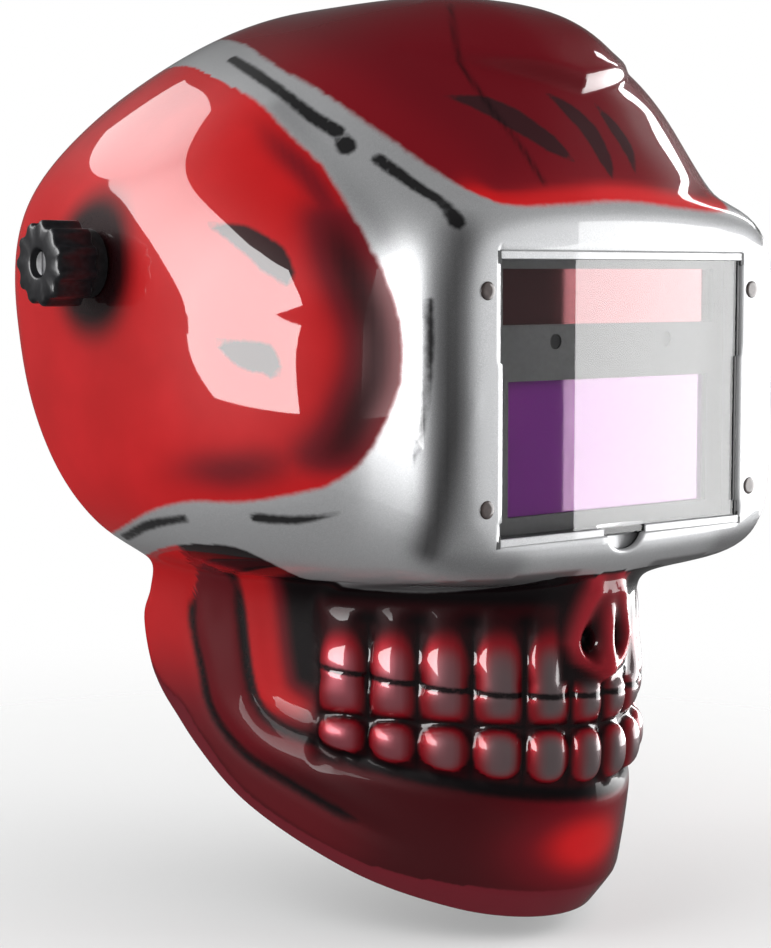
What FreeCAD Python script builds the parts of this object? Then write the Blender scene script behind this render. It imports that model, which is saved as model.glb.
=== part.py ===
# Auto-darkening welding helmet with a skull-shaped shell, filter cartridge and ratchet headgear.
# Millimetres. Origin on the tilt axis at the helmet's mid-plane: +X to the wearer's left,
# -Y to the front, +Z up.
import FreeCAD, Part
import math
import os
import Sketcher

V = FreeCAD.Vector
doc = FreeCAD.newDocument("WeldingHelmet")

# ---------------------------------------------------------------- driving dimensions
DIMENSIONS = {
    # shell
    "shell_half_width": 117, "shell_thickness": 2.8, "crown_top_z": 92, "crown_mid_z": -13,
    "temple_front": 124, "forehead_front": 118, "rear_reach": 165, "cheek_drop": 92,
    "housing_half_width": 81, "housing_half_height": 61.5, "housing_reach": 61,
    "housing_mid_y": -75, "housing_mid_z": -39.8, "housing_front_y": -133,
    "jaw_front_y": -124, "jaw_curve": 63, "chin_z": -224,
    # window and cover plate
    "window_mid_z": -42, "recess_width": 112, "recess_height": 92, "view_width": 108,
    "view_height": 86, "lip_thickness": 0.8, "plate_seat_y": -131.2, "frame_back_y": -126,
    "frame_width": 128, "frame_height": 97, "plate_width": 110, "plate_height": 90,
    "plate_thickness": 1, "notch_radius": 9.5, "frame_pin_x": 61, "frame_pin_z": 33.5,
    "frame_pin_radius": 1.5, "frame_pin_gap": 0.05, "frame_pin_head_radius": 2.6,
    # filter cartridge
    "case_width": 110, "case_height": 90, "case_depth": 7, "case_wall": 2, "case_back": 1.5,
    "lcd_width": 100, "lcd_height": 48, "lcd_thickness": 3.2, "lcd_mid_z": -58.3,
    "lcd_view_width": 92, "lcd_view_height": 42.6, "solar_width": 100, "solar_height": 19.5,
    "solar_view_width": 97, "solar_view_height": 17.5, "solar_mid_z": -10.6,
    "sensor_x": 25.5, "sensor_z": -24.8, "sensor_radius": 2.4, "board_height": 25,
    "battery_radius": 6.2, "battery_x": 32, "inner_plate_width": 103, "inner_plate_height": 53,
    "control_z": -18, "shade_x": 36, "sensitivity_x": 0, "delay_x": -36, "test_x": -18,
    "dial_radius": 9, "dial_height": 7, "dial_shaft_radius": 3, "running_gap": 0.05,
    "button_radius": 3.5, "button_height": 3.4, "tray_width": 128, "tray_height": 96,
    "latch_x": 59.6, "latch_reach": 7.3, "latch_width": 7, "latch_thickness": 2,
    # pivots
    "disc_x": 104, "disc_thickness": 5, "disc_radius": 18, "washer_radius": 14,
    "bush_radius": 6, "bush_start_x": 112.8, "collar_x": 118.2, "collar_thickness": 4.5,
    "collar_radius": 11.5, "bolt_radius": 3.9, "knob_x": 123, "knob_length": 15,
    "knob_radius": 14.2, "knob_lobes": 11, "lobe_cut_radius": 3.4, "knob_eye_radius": 4.6,
    # headgear
    "band_tilt": 18, "band_half_width": 78, "band_front": 92, "band_height": 19,
    "band_thickness": 1.8, "band_arm_end": 40, "front_arc_y": -20, "rear_arc_y": 50,
    "rear_reach_y": 102, "rear_arm_start": 24, "strap_width": 20, "strap_top_z": 80,
    "strap_thickness": 1.5, "pad_thickness": 6, "ratchet_width": 46, "ratchet_height": 30,
    "ratchet_depth": 14, "ratchet_knob_radius": 17, "ratchet_knob_length": 12,
    "pinion_radius": 8, "spindle_radius": 3,
}
params = doc.addObject("Spreadsheet::Sheet", "Params")
for row, (alias, value) in enumerate(DIMENSIONS.items(), start=1):
    params.set("A%d" % row, alias)
    params.set("B%d" % row, str(value))
    params.setAlias("B%d" % row, alias)
doc.recompute()


def dim(alias):
    """A driving dimension read back from the sheet."""
    return float(params.get(alias))


sub_parts = []


def keep(thing, label):
    """Mark an object as one sub-part of the helmet."""
    thing.Label = label
    sub_parts.append(thing)
    return thing


def bind(thing, **expressions):
    for name, expression in expressions.items():
        thing.setExpression(name.replace("__", "."), expression)


# ---------------------------------------------------------------- PartDesign helpers
def new_body(label):
    return keep(doc.addObject("PartDesign::Body", label), label)


def sketch_on(body, role, name, offset=0.0):
    """A sketch on one of the body's own origin planes, moved along its normal."""
    plane = [f for f in body.Origin.OriginFeatures if f.Role == role][0]
    sketch = body.newObject("Sketcher::SketchObject", name)
    sketch.AttachmentSupport = [(plane, "")]
    sketch.MapMode = "FlatFace"
    sketch.AttachmentOffset = FreeCAD.Placement(V(0, 0, offset), FreeCAD.Rotation())
    return sketch


def add_rectangle(sketch, width, height, middle_x=0.0, middle_y=0.0):
    """A rectangle whose width and height are sheet expressions."""
    first = sketch.GeometryCount
    half_w, half_h = 5.0, 4.0
    corners = [V(middle_x - half_w, middle_y - half_h, 0), V(middle_x + half_w, middle_y - half_h, 0),
               V(middle_x + half_w, middle_y + half_h, 0), V(middle_x - half_w, middle_y + half_h, 0)]
    for k in range(4):
        sketch.addGeometry(Part.LineSegment(corners[k], corners[(k + 1) % 4]), False)
    for k in range(4):
        sketch.addConstraint(Sketcher.Constraint("Coincident", first + k, 2, first + (k + 1) % 4, 1))
    for k in (0, 2):
        sketch.addConstraint(Sketcher.Constraint("Horizontal", first + k))
        sketch.addConstraint(Sketcher.Constraint("Vertical", first + k + 1))
    limits = [("DistanceX", first, 1, first, 2, 10.0, width),
              ("DistanceY", first + 1, 1, first + 1, 2, 8.0, height)]
    for kind, a, pa, b, pb, start, expression in limits:
        index = sketch.addConstraint(Sketcher.Constraint(kind, a, pa, b, pb, start))
        sketch.setExpression("Constraints[%d]" % index, expression)
    anchors = [("DistanceX", middle_x, "(%s) / 2" % width), ("DistanceY", middle_y, "(%s) / 2" % height)]
    for kind, middle, half in anchors:
        index = sketch.addConstraint(Sketcher.Constraint(kind, first, 1, -1, 1, 5.0))
        sketch.setExpression("Constraints[%d]" % index, "%s - (%.4f)" % (half, middle))


def add_circle(sketch, radius, middle_x=0.0, middle_y=0.0):
    index = sketch.addGeometry(Part.Circle(V(middle_x, middle_y, 0), V(0, 0, 1), 3.0), False)
    sketch.addConstraint(Sketcher.Constraint("DistanceX", -1, 1, index, 3, middle_x))
    sketch.addConstraint(Sketcher.Constraint("DistanceY", -1, 1, index, 3, middle_y))
    limit = sketch.addConstraint(Sketcher.Constraint("Radius", index, 3.0))
    sketch.setExpression("Constraints[%d]" % limit, radius)


def pad(body, sketch, length, backwards=False):
    feature = body.newObject("PartDesign::Pad", "Pad")
    feature.Profile = sketch
    feature.Reversed = backwards
    feature.setExpression("Length", length)
    doc.recompute()
    return feature


def pocket(body, sketch, length=None, backwards=False):
    """A pocket of a stated depth, or through everything when no depth is given."""
    volume = body.Shape.Volume
    feature = body.newObject("PartDesign::Pocket", "Pocket")
    feature.Profile = sketch
    feature.Reversed = backwards
    if length is None:
        feature.Type = 1
        feature.Midplane = True
    else:
        feature.setExpression("Length", length)
    doc.recompute()
    if body.Shape.Volume > volume - 1e-6:
        raise RuntimeError("pocket cuts nothing in " + body.Label)
    return feature


# ---------------------------------------------------------------- shell surface
def smooth_min(a, b, blend):
    return 0.5 * (a + b) - 0.5 * math.sqrt((a - b) ** 2 + blend ** 2)


def smooth_max(a, b, blend):
    return 0.5 * (a + b) + 0.5 * math.sqrt((a - b) ** 2 + blend ** 2)


def cranium(x, y, z):
    """Rounded skull cap: oval in plan, arched above the temples, squarer below them."""
    mid_y, round_power, plan_power, arch_power, drop_power = -4.0, 3.5, 2.5, 1.62, 5.0
    dy, dz = y - mid_y, z - dim("crown_mid_z")
    rise = dim("crown_top_z") - dim("crown_mid_z")
    rearward = 0.5 * (1 + dy / math.sqrt(dy * dy + 400))
    upward = 1 / (1 + math.exp(-(z - 22) / 8))
    front = dim("temple_front") + (dim("forehead_front") - dim("temple_front")) * upward
    reach = front + (dim("rear_reach") - front) * rearward
    above = 1 / (1 + math.exp(-dz / 5))
    side_power = plan_power - (plan_power - arch_power) * (1 - math.exp(-(dz / 42) ** 2))
    rise -= 0.0036 * smooth_max(y - 8, 0, 6) ** 2
    half_width, crest = dim("shell_half_width"), 14.0
    u = (abs(x) + 1e-3) / half_width
    full_crest = math.sqrt(half_width ** 2 + crest ** 2) - crest
    u_crest = (math.sqrt(x * x + crest ** 2) - crest + 1e-3) / full_crest
    v = (abs(dy) + 1e-3) / reach
    arch = (v ** round_power + ((abs(dz) + 1e-3) / rise) ** round_power) ** (1 / round_power)
    upper = (arch ** side_power + u_crest ** side_power) ** (1 / side_power)
    plan = (u ** plan_power + v ** plan_power) ** (drop_power / plan_power)
    lower = (plan + ((abs(dz) + 1e-3) / dim("cheek_drop")) ** drop_power) ** (1 / drop_power)
    size = above * upper + (1 - above) * lower
    return math.sqrt(x * x + dy * dy + dz * dz) * (1 - 1 / size)


def lens_housing(x, y, z):
    """Soft-cornered block that carries the window."""
    power = 6.5
    dy, dz = y - dim("housing_mid_y"), z - dim("housing_mid_z")
    size = (abs(x / dim("housing_half_width")) ** power + abs(dy / dim("housing_reach")) ** power
            + abs(dz / dim("housing_half_height")) ** power + 1e-9) ** (1 / power)
    return math.sqrt(x * x + dy * dy + dz * dz) * (1 - 1 / size)


def jaw(x, y, z):
    """Lower face: a parabola in plan that draws back towards the chin."""
    below = smooth_max(-z - 150, 0, 8)
    front = dim("jaw_front_y") + 11 * (below / 70) ** 2
    curve = dim("jaw_curve")
    slope = math.sqrt(1 + (2 * x / curve) ** 2)
    return smooth_max((front + x * x / curve - y) / slope, z + 70, 10)


def shell_distance(x, y, z):
    """Roughly the distance outside the shell's outer surface, negative inside it."""
    upper = smooth_min(cranium(x, y, z), lens_housing(x, y, z), 10)
    flat_front = smooth_max(upper, dim("housing_front_y") - y, 1.5)
    whole = smooth_min(flat_front, jaw(x, y, z), 6)
    return smooth_max(whole, y - 80, 6)


def section_wire(level, inset, points=56, middle_y=-15.0):
    """Closed level section of the shell's surface, inset by a distance."""
    ring = []
    for k in range(points):
        angle = 2 * math.pi * k / points
        dx, dy = math.sin(angle), -math.cos(angle)
        near, far = 1.0, 200.0
        for _ in range(34):
            middle = 0.5 * (near + far)
            if shell_distance(dx * middle, middle_y + dy * middle, level) + inset < 0:
                near = middle
            else:
                far = middle
        ring.append(V(dx * near, middle_y + dy * near, level))
    curve = Part.BSplineCurve()
    curve.interpolate(ring, PeriodicFlag=True)
    return Part.Wire([curve.toShape()])


def lofted(inset, top_levels):
    low = dim("chin_z") - 12
    levels = [low, -212, -194, -174, -154, -136, -122, -113, -107, -102, -97, -90, -78, -60]
    levels += [-40, -22, -6, 8, 20, 33, 46, 58] + top_levels
    return Part.makeLoft([section_wire(z, inset) for z in levels], True, True)


def rim_prism():
    """Side outline of the shell, run right across the helmet."""
    rim = [(62, 93), (58, 70), (56, 50), (56, 17), (56, 0), (54, -20), (46, -42), (31, -65),
           (13, -88), (4, -99), (6, -112), (9, -123), (5, -142), (-5, -160), (-27, -183),
           (-60, -203), (-87, -214), (-105, -219), (-140, -224)]
    outline = [V(-150, y, z) for y, z in rim]
    curve = Part.BSplineCurve()
    curve.interpolate(outline)
    front = [outline[-1], V(-150, -160, -224), V(-150, -160, 110), V(-150, 62, 110), outline[0]]
    edges = [curve.toShape()] + [Part.makeLine(a, b) for a, b in zip(front, front[1:])]
    return Part.Face(Part.Wire(edges)).extrude(V(300, 0, 0))


def box_between(x0, y0, z0, x1, y1, z1):
    return Part.makeBox(x1 - x0, y1 - y0, z1 - z0, V(x0, y0, z0))


def window_box(width, height, y0, y1):
    middle = dim("window_mid_z")
    return box_between(-width / 2, y0, middle - height / 2, width / 2, y1, middle + height / 2)


def window_frame():
    """Flat frame moulded into the front: plate seat, lips, thumb notch and pin holes."""
    seat, back = dim("plate_seat_y"), dim("frame_back_y")
    front = dim("housing_front_y") - 0.1
    frame = window_box(dim("frame_width"), dim("frame_height"), front, back)
    undercut_y = dim("housing_front_y") + dim("lip_thickness")
    frame = frame.cut(window_box(dim("view_width"), dim("view_height"), front - 5, back + 5))
    frame = frame.cut(window_box(dim("recess_width"), dim("view_height"), front - 5, seat))
    frame = frame.cut(window_box(dim("recess_width"), dim("recess_height"), undercut_y, seat))
    notch_z = dim("window_mid_z") - dim("recess_height") / 2 + 4
    frame = frame.cut(Part.makeCylinder(dim("notch_radius"), 6, V(0, seat, notch_z), V(0, -1, 0)))
    for x in (-1, 1):
        for z in (-1, 1):
            at = V(x * dim("frame_pin_x"), front - 2, dim("window_mid_z") + z * dim("frame_pin_z"))
            frame = frame.cut(Part.makeCylinder(dim("frame_pin_radius"), 20, at, V(0, 1, 0)))
            frame = frame.cut(Part.makeCylinder(dim("frame_pin_head_radius"), 3.3, at, V(0, 1, 0)))
    return frame


def build_shell():
    outer = lofted(0.0, [68, 76, 83, 88, 91])
    inner = lofted(dim("shell_thickness"), [67, 74, 80, 84.5, 87.5])
    shape = outer.common(rim_prism()).cut(inner)
    shape = shape.cut(window_box(dim("frame_width") - 1, dim("frame_height") - 1, -150, -118))
    shape = shape.fuse(window_frame())
    hole = dim("bush_radius") + dim("running_gap")
    shape = shape.cut(Part.makeCylinder(hole, 300, V(-150, 0, 0), V(1, 0, 0)))
    feature = doc.addObject("Part::Feature", "shell")
    feature.Shape = shape.removeSplitter()
    return keep(feature, "shell")


build_shell()

# ---------------------------------------------------------------- window and filter cartridge
WINDOW_Z = dim("window_mid_z")


def stand(thing, x=0.0, y=0.0, z=0.0, rotation=None):
    thing.Placement = FreeCAD.Placement(V(x, y, z), rotation or FreeCAD.Rotation())
    return thing


def plate_body(label, width, height, thickness, y, z):
    """Flat plate standing in the XZ plane whose front face is at y."""
    body = new_body(label)
    sketch = sketch_on(body, "XZ_Plane", label + "_outline")
    add_rectangle(sketch, width, height)
    pad(body, sketch, thickness, backwards=True)
    return stand(body, 0, y, z)


def make_cover_plates():
    front = dim("plate_seat_y") - dim("plate_thickness")
    plate_body("outer_cover_plate", "Params.plate_width", "Params.plate_height",
               "Params.plate_thickness", front, WINDOW_Z)
    back = dim("frame_back_y") + dim("case_depth") + dim("case_back")
    plate_body("inner_cover_plate", "Params.inner_plate_width", "Params.inner_plate_height",
               "Params.plate_thickness", back, dim("lcd_mid_z"))


def make_frame_pins():
    """Four stepped pins that hold the filter tray to the shell, heads flush with the front."""
    front, tray_back = dim("housing_front_y"), dim("frame_back_y") + dim("case_depth") + 1.5
    head_depth = 1.0
    pins = []
    for x in (-1, 1):
        for z in (-1, 1):
            at = V(x * dim("frame_pin_x"), front, WINDOW_Z + z * dim("frame_pin_z"))
            shank_radius = dim("frame_pin_radius") - dim("frame_pin_gap")
            shank = Part.makeCylinder(shank_radius, tray_back - front, at, V(0, 1, 0))
            head_radius = dim("frame_pin_head_radius") - dim("frame_pin_gap")
            head = Part.makeCylinder(head_radius, head_depth, at, V(0, 1, 0))
            pins.append(shank.fuse(head).removeSplitter())
    feature = doc.addObject("Part::Feature", "frame_pins")
    feature.Shape = Part.makeCompound(pins)
    keep(feature, "frame_pins")


def make_filter_case():
    """Front half of the cartridge: a tray open to the back with its three windows."""
    body = plate_body("filter_case", "Params.case_width", "Params.case_height", "Params.case_depth",
                      dim("frame_back_y"), WINDOW_Z)
    cavity = sketch_on(body, "XZ_Plane", "cavity", -dim("case_depth"))
    add_rectangle(cavity, "Params.case_width - 2 * Params.case_wall",
                  "Params.case_height - 2 * Params.case_wall")
    pocket(body, cavity, "Params.case_depth - Params.case_wall", backwards=True)
    windows = sketch_on(body, "XZ_Plane", "windows")
    add_rectangle(windows, "Params.lcd_view_width", "Params.lcd_view_height", 0,
                  dim("lcd_mid_z") - WINDOW_Z)
    add_rectangle(windows, "Params.solar_view_width", "Params.solar_view_height", 0,
                  dim("solar_mid_z") - WINDOW_Z)
    for side in (-1, 1):
        add_circle(windows, "Params.sensor_radius + 0.1", side * dim("sensor_x"),
                   dim("sensor_z") - WINDOW_Z)
    pocket(body, windows, "Params.case_wall", backwards=False)


def make_filter_back():
    """Rear cover of the cartridge with the view window and holes for the controls."""
    body = plate_body("filter_back", "Params.case_width", "Params.case_height", "Params.case_back",
                      dim("frame_back_y") + dim("case_depth"), WINDOW_Z)
    openings = sketch_on(body, "XZ_Plane", "openings")
    add_rectangle(openings, "Params.lcd_view_width", "Params.lcd_view_height", 0,
                  dim("lcd_mid_z") - WINDOW_Z)
    for x in ("shade_x", "sensitivity_x", "delay_x"):
        add_circle(openings, "Params.dial_shaft_radius + Params.running_gap", dim(x),
                   dim("control_z") - WINDOW_Z)
    add_circle(openings, "Params.button_radius - 1.0 + 0.1", dim("test_x"), dim("control_z") - WINDOW_Z)
    pocket(body, openings, "Params.case_back", backwards=False)


def make_filter_inside():
    inner_y = dim("frame_back_y") + dim("case_wall")
    plate_body("lcd_filter", "Params.lcd_width", "Params.lcd_height", "Params.lcd_thickness",
               inner_y, dim("lcd_mid_z"))
    plate_body("solar_cell", "Params.solar_width", "Params.solar_height", "1.2",
               inner_y, dim("solar_mid_z"))
    board_y = inner_y + 1.3
    plate_body("circuit_board", "Params.solar_width", "Params.board_height", "1.2",
               board_y, dim("solar_mid_z") - 5)
    groups = [("arc_sensors", dim("sensor_radius"), dim("sensor_x"), dim("sensor_z"),
               dim("frame_back_y") + 0.3, 2.9),
              ("batteries", dim("battery_radius"), dim("battery_x"), dim("solar_mid_z") - 5,
               board_y + 1.25, 2.2)]
    for label, radius, x, z, y, length in groups:
        pair = [Part.makeCylinder(radius, length, V(side * x, y, z), V(0, 1, 0)) for side in (-1, 1)]
        feature = doc.addObject("Part::Feature", label)
        feature.Shape = Part.makeCompound(pair)
        keep(feature, label)


def make_dial(label, x):
    """Control knob with a grip bar on its face and a shaft through the filter's back."""
    body = new_body(label)
    disc = sketch_on(body, "XY_Plane", "disc", 0.3)
    add_circle(disc, "Params.dial_radius")
    pad(body, disc, "Params.dial_height * 0.4")
    grip = sketch_on(body, "XY_Plane", "grip", 0.3)
    add_rectangle(grip, "Params.dial_radius * 1.7", "Params.dial_radius * 0.42")
    pad(body, grip, "Params.dial_height")
    shaft = sketch_on(body, "XY_Plane", "shaft", 0.3)
    add_circle(shaft, "Params.dial_shaft_radius")
    pad(body, shaft, "Params.case_back + 0.5", backwards=True)
    back = dim("frame_back_y") + dim("case_depth") + dim("case_back")
    stand(body, x, back, dim("control_z"), FreeCAD.Rotation(V(1, 0, 0), -90))


def make_test_button():
    body = new_body("test_button")
    cap = sketch_on(body, "XY_Plane", "cap", 2.0)
    add_circle(cap, "Params.button_radius")
    pad(body, cap, "Params.button_height - 2")
    stem = sketch_on(body, "XY_Plane", "stem", 2.0)
    add_circle(stem, "Params.button_radius - 1")
    pad(body, stem, "2 + Params.case_back", backwards=True)
    back = dim("frame_back_y") + dim("case_depth") + dim("case_back")
    stand(body, dim("test_x"), back, dim("control_z"), FreeCAD.Rotation(V(1, 0, 0), -90))


def make_filter_tray():
    """Rectangular frame around the cartridge, open front and back, with two pivot pins."""
    body = plate_body("filter_tray", "Params.tray_width", "Params.tray_height",
                      "Params.case_depth + 1.5", dim("frame_back_y"), WINDOW_Z)
    opening = sketch_on(body, "XZ_Plane", "opening")
    add_rectangle(opening, "Params.case_width + 0.4", "Params.case_height + 0.4")
    for x in (-1, 1):
        for z in (-1, 1):
            add_circle(opening, "Params.frame_pin_radius", x * dim("frame_pin_x"),
                       z * dim("frame_pin_z"))
        add_circle(opening, "1.5 + Params.running_gap", x * dim("latch_x"), 0)
    pocket(body, opening, "Params.case_depth + 1.5", backwards=False)


def make_latch(label, side):
    """Turn button that overlaps the cartridge's edge and swings clear of it."""
    body = new_body(label)
    lever = sketch_on(body, "XY_Plane", "lever", 0.3)
    add_rectangle(lever, "Params.latch_reach + 3.5", "Params.latch_width",
                  -side * (dim("latch_reach") - 3.5) / 2, 0)
    pad(body, lever, "Params.latch_thickness")
    stem = sketch_on(body, "XY_Plane", "stem", 0.3)
    add_circle(stem, "1.5")
    pad(body, stem, "6", backwards=True)
    back = dim("frame_back_y") + dim("case_depth") + 1.5
    stand(body, side * dim("latch_x"), back, WINDOW_Z, FreeCAD.Rotation(V(1, 0, 0), -90))


make_cover_plates()
make_frame_pins()
make_filter_case()
make_filter_back()
make_filter_inside()
make_dial("shade_dial", dim("shade_x"))
make_dial("sensitivity_dial", dim("sensitivity_x"))
make_dial("delay_dial", dim("delay_x"))
make_test_button()
make_filter_tray()
make_latch("left_latch", 1)
make_latch("right_latch", -1)

# ---------------------------------------------------------------- pivots, one set on each side


def turned(label, side, x, radius, length, bore=None):
    """Round piece on the tilt axis, from x outwards, with an optional bore."""
    rotation = FreeCAD.Rotation(V(0, 1, 0), 90 * side)
    outside = doc.addObject("Part::Cylinder", label + "_round")
    bind(outside, Radius=radius, Height=length)
    stand(outside, side * x, 0, 0, rotation)
    if bore is None:
        return keep(outside, label)
    hole = doc.addObject("Part::Cylinder", label + "_bore")
    bind(hole, Radius=bore)
    hole.Height = 60
    stand(hole, side * (x - 20), 0, 0, rotation)
    ring = doc.addObject("Part::Cut", label)
    ring.Base = outside
    ring.Tool = hole
    return keep(ring, label)


def make_pivot_bush(label, side):
    """Flanged bush: its barrel carries the shell, its collar stands outside it."""
    rotation = FreeCAD.Rotation(V(0, 1, 0), 90 * side)
    barrel = doc.addObject("Part::Cylinder", label + "_barrel")
    bind(barrel, Radius="Params.bush_radius", Height="Params.collar_x - Params.bush_start_x + 1")
    stand(barrel, side * dim("bush_start_x"), 0, 0, rotation)
    collar = doc.addObject("Part::Cylinder", label + "_collar")
    bind(collar, Radius="Params.collar_radius", Height="Params.collar_thickness")
    stand(collar, side * dim("collar_x"), 0, 0, rotation)
    both = doc.addObject("Part::Fuse", label + "_both")
    both.Base = barrel
    both.Tool = collar
    hole = doc.addObject("Part::Cylinder", label + "_bore")
    bind(hole, Radius="Params.bolt_radius")
    hole.Height = 40
    stand(hole, side * (dim("bush_start_x") - 10), 0, 0, rotation)
    bush = doc.addObject("Part::Cut", label)
    bush.Base = both
    bush.Tool = hole
    keep(bush, label)


def make_side_knob(label, side):
    """Scalloped clamping knob with a stepped eye."""
    body = new_body(label)
    blank = sketch_on(body, "XY_Plane", "blank")
    add_circle(blank, "Params.knob_radius")
    pad(body, blank, "Params.knob_length")
    scallop = sketch_on(body, "XY_Plane", "scallop")
    add_circle(scallop, "Params.lobe_cut_radius", dim("knob_radius") + 1.9, 0)
    cut = pocket(body, scallop, "Params.knob_length", backwards=True)
    lobes = body.newObject("PartDesign::PolarPattern", "Lobes")
    lobes.Originals = [cut]
    axis = [f for f in body.Origin.OriginFeatures if f.Role == "Z_Axis"][0]
    lobes.Axis = (axis, [""])
    lobes.Angle = 360
    lobes.Occurrences = int(dim("knob_lobes"))
    body.Tip = lobes
    doc.recompute()
    eye = sketch_on(body, "XY_Plane", "eye")
    add_circle(eye, "Params.bolt_radius + Params.running_gap")
    pocket(body, eye, "Params.knob_length", backwards=True)
    well = sketch_on(body, "XY_Plane", "well", dim("knob_length"))
    add_circle(well, "Params.knob_eye_radius")
    pocket(body, well, "4")
    stand(body, side * dim("knob_x"), 0, 0, FreeCAD.Rotation(V(0, 1, 0), 90 * side))


def make_pivot_bolt(label, side):
    """Bolt fixed in the arm, with a screwdriver slot in its outer end."""
    start, tip = dim("disc_x") - 3, dim("knob_x") + dim("knob_length") - 2.0
    shank = Part.makeCylinder(dim("bolt_radius"), tip - start, V(side * start, 0, 0), V(side, 0, 0))
    head = Part.makeBox(3.0, 13, 13, V(-1.5, -6.5, -6.5))
    head.translate(V(side * (start - 1.5), 0, 0))
    slot = Part.makeBox(2.0, 1.2, 12, V(-1.0, -0.6, -6))
    slot.translate(V(side * (tip - 0.5), 0, 0))
    feature = doc.addObject("Part::Feature", label)
    feature.Shape = shank.fuse(head).cut(slot).removeSplitter()
    keep(feature, label)


def make_pivot_arm(label, side):
    """Foot on the headband and a square socket that reaches out to the tilt disc."""
    foot_x = dim("band_half_width") + dim("band_thickness")
    reach = dim("disc_x") - foot_x
    half = 11.0
    foot_height = dim("band_height") + 6
    foot = Part.makeBox(3, 2 * half, foot_height, V(foot_x, -half, -foot_height / 2))
    socket = Part.makeBox(reach, 17, 17, V(foot_x, -8.5, -8.5))
    hollow = Part.makeBox(reach, 13, 13, V(foot_x + 3, -6.5, -6.5))
    arm = foot.fuse(socket).cut(hollow).removeSplitter()
    if side < 0:
        arm = arm.mirror(V(0, 0, 0), V(1, 0, 0))
    feature = doc.addObject("Part::Feature", label)
    feature.Shape = arm
    keep(feature, label)


for name, side in (("left", 1), ("right", -1)):
    make_pivot_arm(name + "_pivot_arm", side)
    make_pivot_bolt(name + "_pivot_bolt", side)
    turned(name + "_tilt_disc", side, dim("disc_x"), "Params.disc_radius", "Params.disc_thickness",
           "Params.bolt_radius")
    turned(name + "_friction_washer", side, dim("disc_x") + dim("disc_thickness"),
           "Params.washer_radius", "1.6", "Params.bolt_radius")
    make_pivot_bush(name + "_pivot_bush", side)
    make_side_knob(name + "_side_knob", side)

# ---------------------------------------------------------------- headgear
TILT = FreeCAD.Rotation(V(1, 0, 0), -dim("band_tilt"))


def half_hoop(half_width, tip_y, arc_y, straight_end_y, thickness, height):
    """Strip along a half ellipse with two straight arms, standing on edge."""
    def outline(grow):
        a, b = half_width + grow, abs(tip_y - arc_y) + grow
        toward = 1 if tip_y > arc_y else -1
        if a >= b:
            oval = Part.Ellipse(V(0, arc_y, 0), a, b)
        else:
            oval = Part.Ellipse(V(0, arc_y + b, 0), V(a, arc_y, 0), V(0, arc_y, 0))
        disc = Part.Face(Part.Wire([oval.toShape()]))
        window = Part.makeBox(400, 200, 2, V(-200, arc_y if toward > 0 else arc_y - 200, -1))
        arm = Part.makeBox(2 * a, abs(straight_end_y - arc_y), height,
                           V(-a, min(arc_y, straight_end_y), -height / 2))
        round_end = disc.common(window).extrude(V(0, 0, height))
        round_end.translate(V(0, 0, -height / 2))
        return arm.fuse(round_end)
    open_end = Part.makeBox(2 * half_width, 40, height + 2, V(-half_width, 0, -height / 2 - 1))
    shift = straight_end_y - 20
    open_end.translate(V(0, shift, 0))
    return outline(thickness).cut(outline(0)).cut(open_end).removeSplitter()


def shaped(label, shape, rotation=TILT):
    feature = doc.addObject("Part::Feature", label)
    feature.Shape = shape
    feature.Placement = FreeCAD.Placement(V(), rotation).multiply(shape.Placement)
    return keep(feature, label)


def make_front_headband():
    hoop = half_hoop(dim("band_half_width"), -dim("band_front"), dim("front_arc_y"),
                     dim("band_arm_end"), dim("band_thickness"), dim("band_height"))
    shaped("front_headband", hoop)


def make_sweatband():
    """Soft brow pad on the inside of the front of the headband."""
    soft = half_hoop(dim("band_half_width") - dim("pad_thickness") - 0.2,
                     -dim("band_front") + dim("pad_thickness") + 0.2, dim("front_arc_y"),
                     dim("front_arc_y") + 20, dim("pad_thickness"), dim("band_height") + 10)
    reach = Part.makeBox(300, 60, 60, V(-150, -dim("band_front") - 20, -30))
    shaped("sweatband", soft.common(reach))


def make_rear_band():
    """Rear half of the headband; its arms slide along the outside of the front arms."""
    inner_half = dim("band_half_width") + dim("band_thickness") + 0.4
    hoop = half_hoop(inner_half, dim("rear_reach_y"), dim("rear_arc_y"), dim("rear_arm_start"),
                     dim("band_thickness"), dim("band_height") - 2)
    shaped("rear_band", hoop)


def make_crown_straps():
    """Two overlapping straps over the head, joined by a pair of pegs at the top."""
    half = dim("band_half_width") - 0.3
    rise, width, thick = dim("strap_top_z"), dim("strap_width"), dim("strap_thickness")

    def arch(drop):
        def solid(shrink):
            a, b = half - shrink, rise - drop - shrink
            major, minor = (a, b) if a >= b else (b, a)
            oval = Part.Ellipse(V(0, 0, 0), major, minor).toShape()
            if b > a:
                oval.rotate(V(0, 0, 0), V(0, 0, 1), 90)
            block = Part.Face(Part.Wire([oval])).extrude(V(0, 0, width))
            block.rotate(V(0, 0, 0), V(1, 0, 0), 90)
            block.translate(V(0, width / 2, 0))
            return block
        ring = solid(0).cut(solid(thick))
        return ring.common(Part.makeBox(400, 60, 200, V(-200, -30, 0)))
    overlap = 18.0
    left = arch(0).common(Part.makeBox(200, 60, 200, V(-overlap, -30, 0)))
    right = arch(thick + 0.1).common(Part.makeBox(200, 60, 200, V(-200 + overlap, -30, 0)))
    upright = FreeCAD.Rotation()
    pegs, peg_radius = [], 2.4
    for x in (-9, 9):
        at = V(x, 0, rise - 6.2)
        pegs.append(Part.makeCylinder(peg_radius, 6.5, at, V(0, 0, 1)))
        hole = Part.makeCylinder(peg_radius + dim("running_gap"), 20, at, V(0, 0, 1))
        left, right = left.cut(hole), right.cut(hole)
    shaped("left_crown_strap", left, upright)
    shaped("right_crown_strap", right, upright)
    shaped("crown_strap_pegs", Part.makeCompound(pegs), upright)


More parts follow.
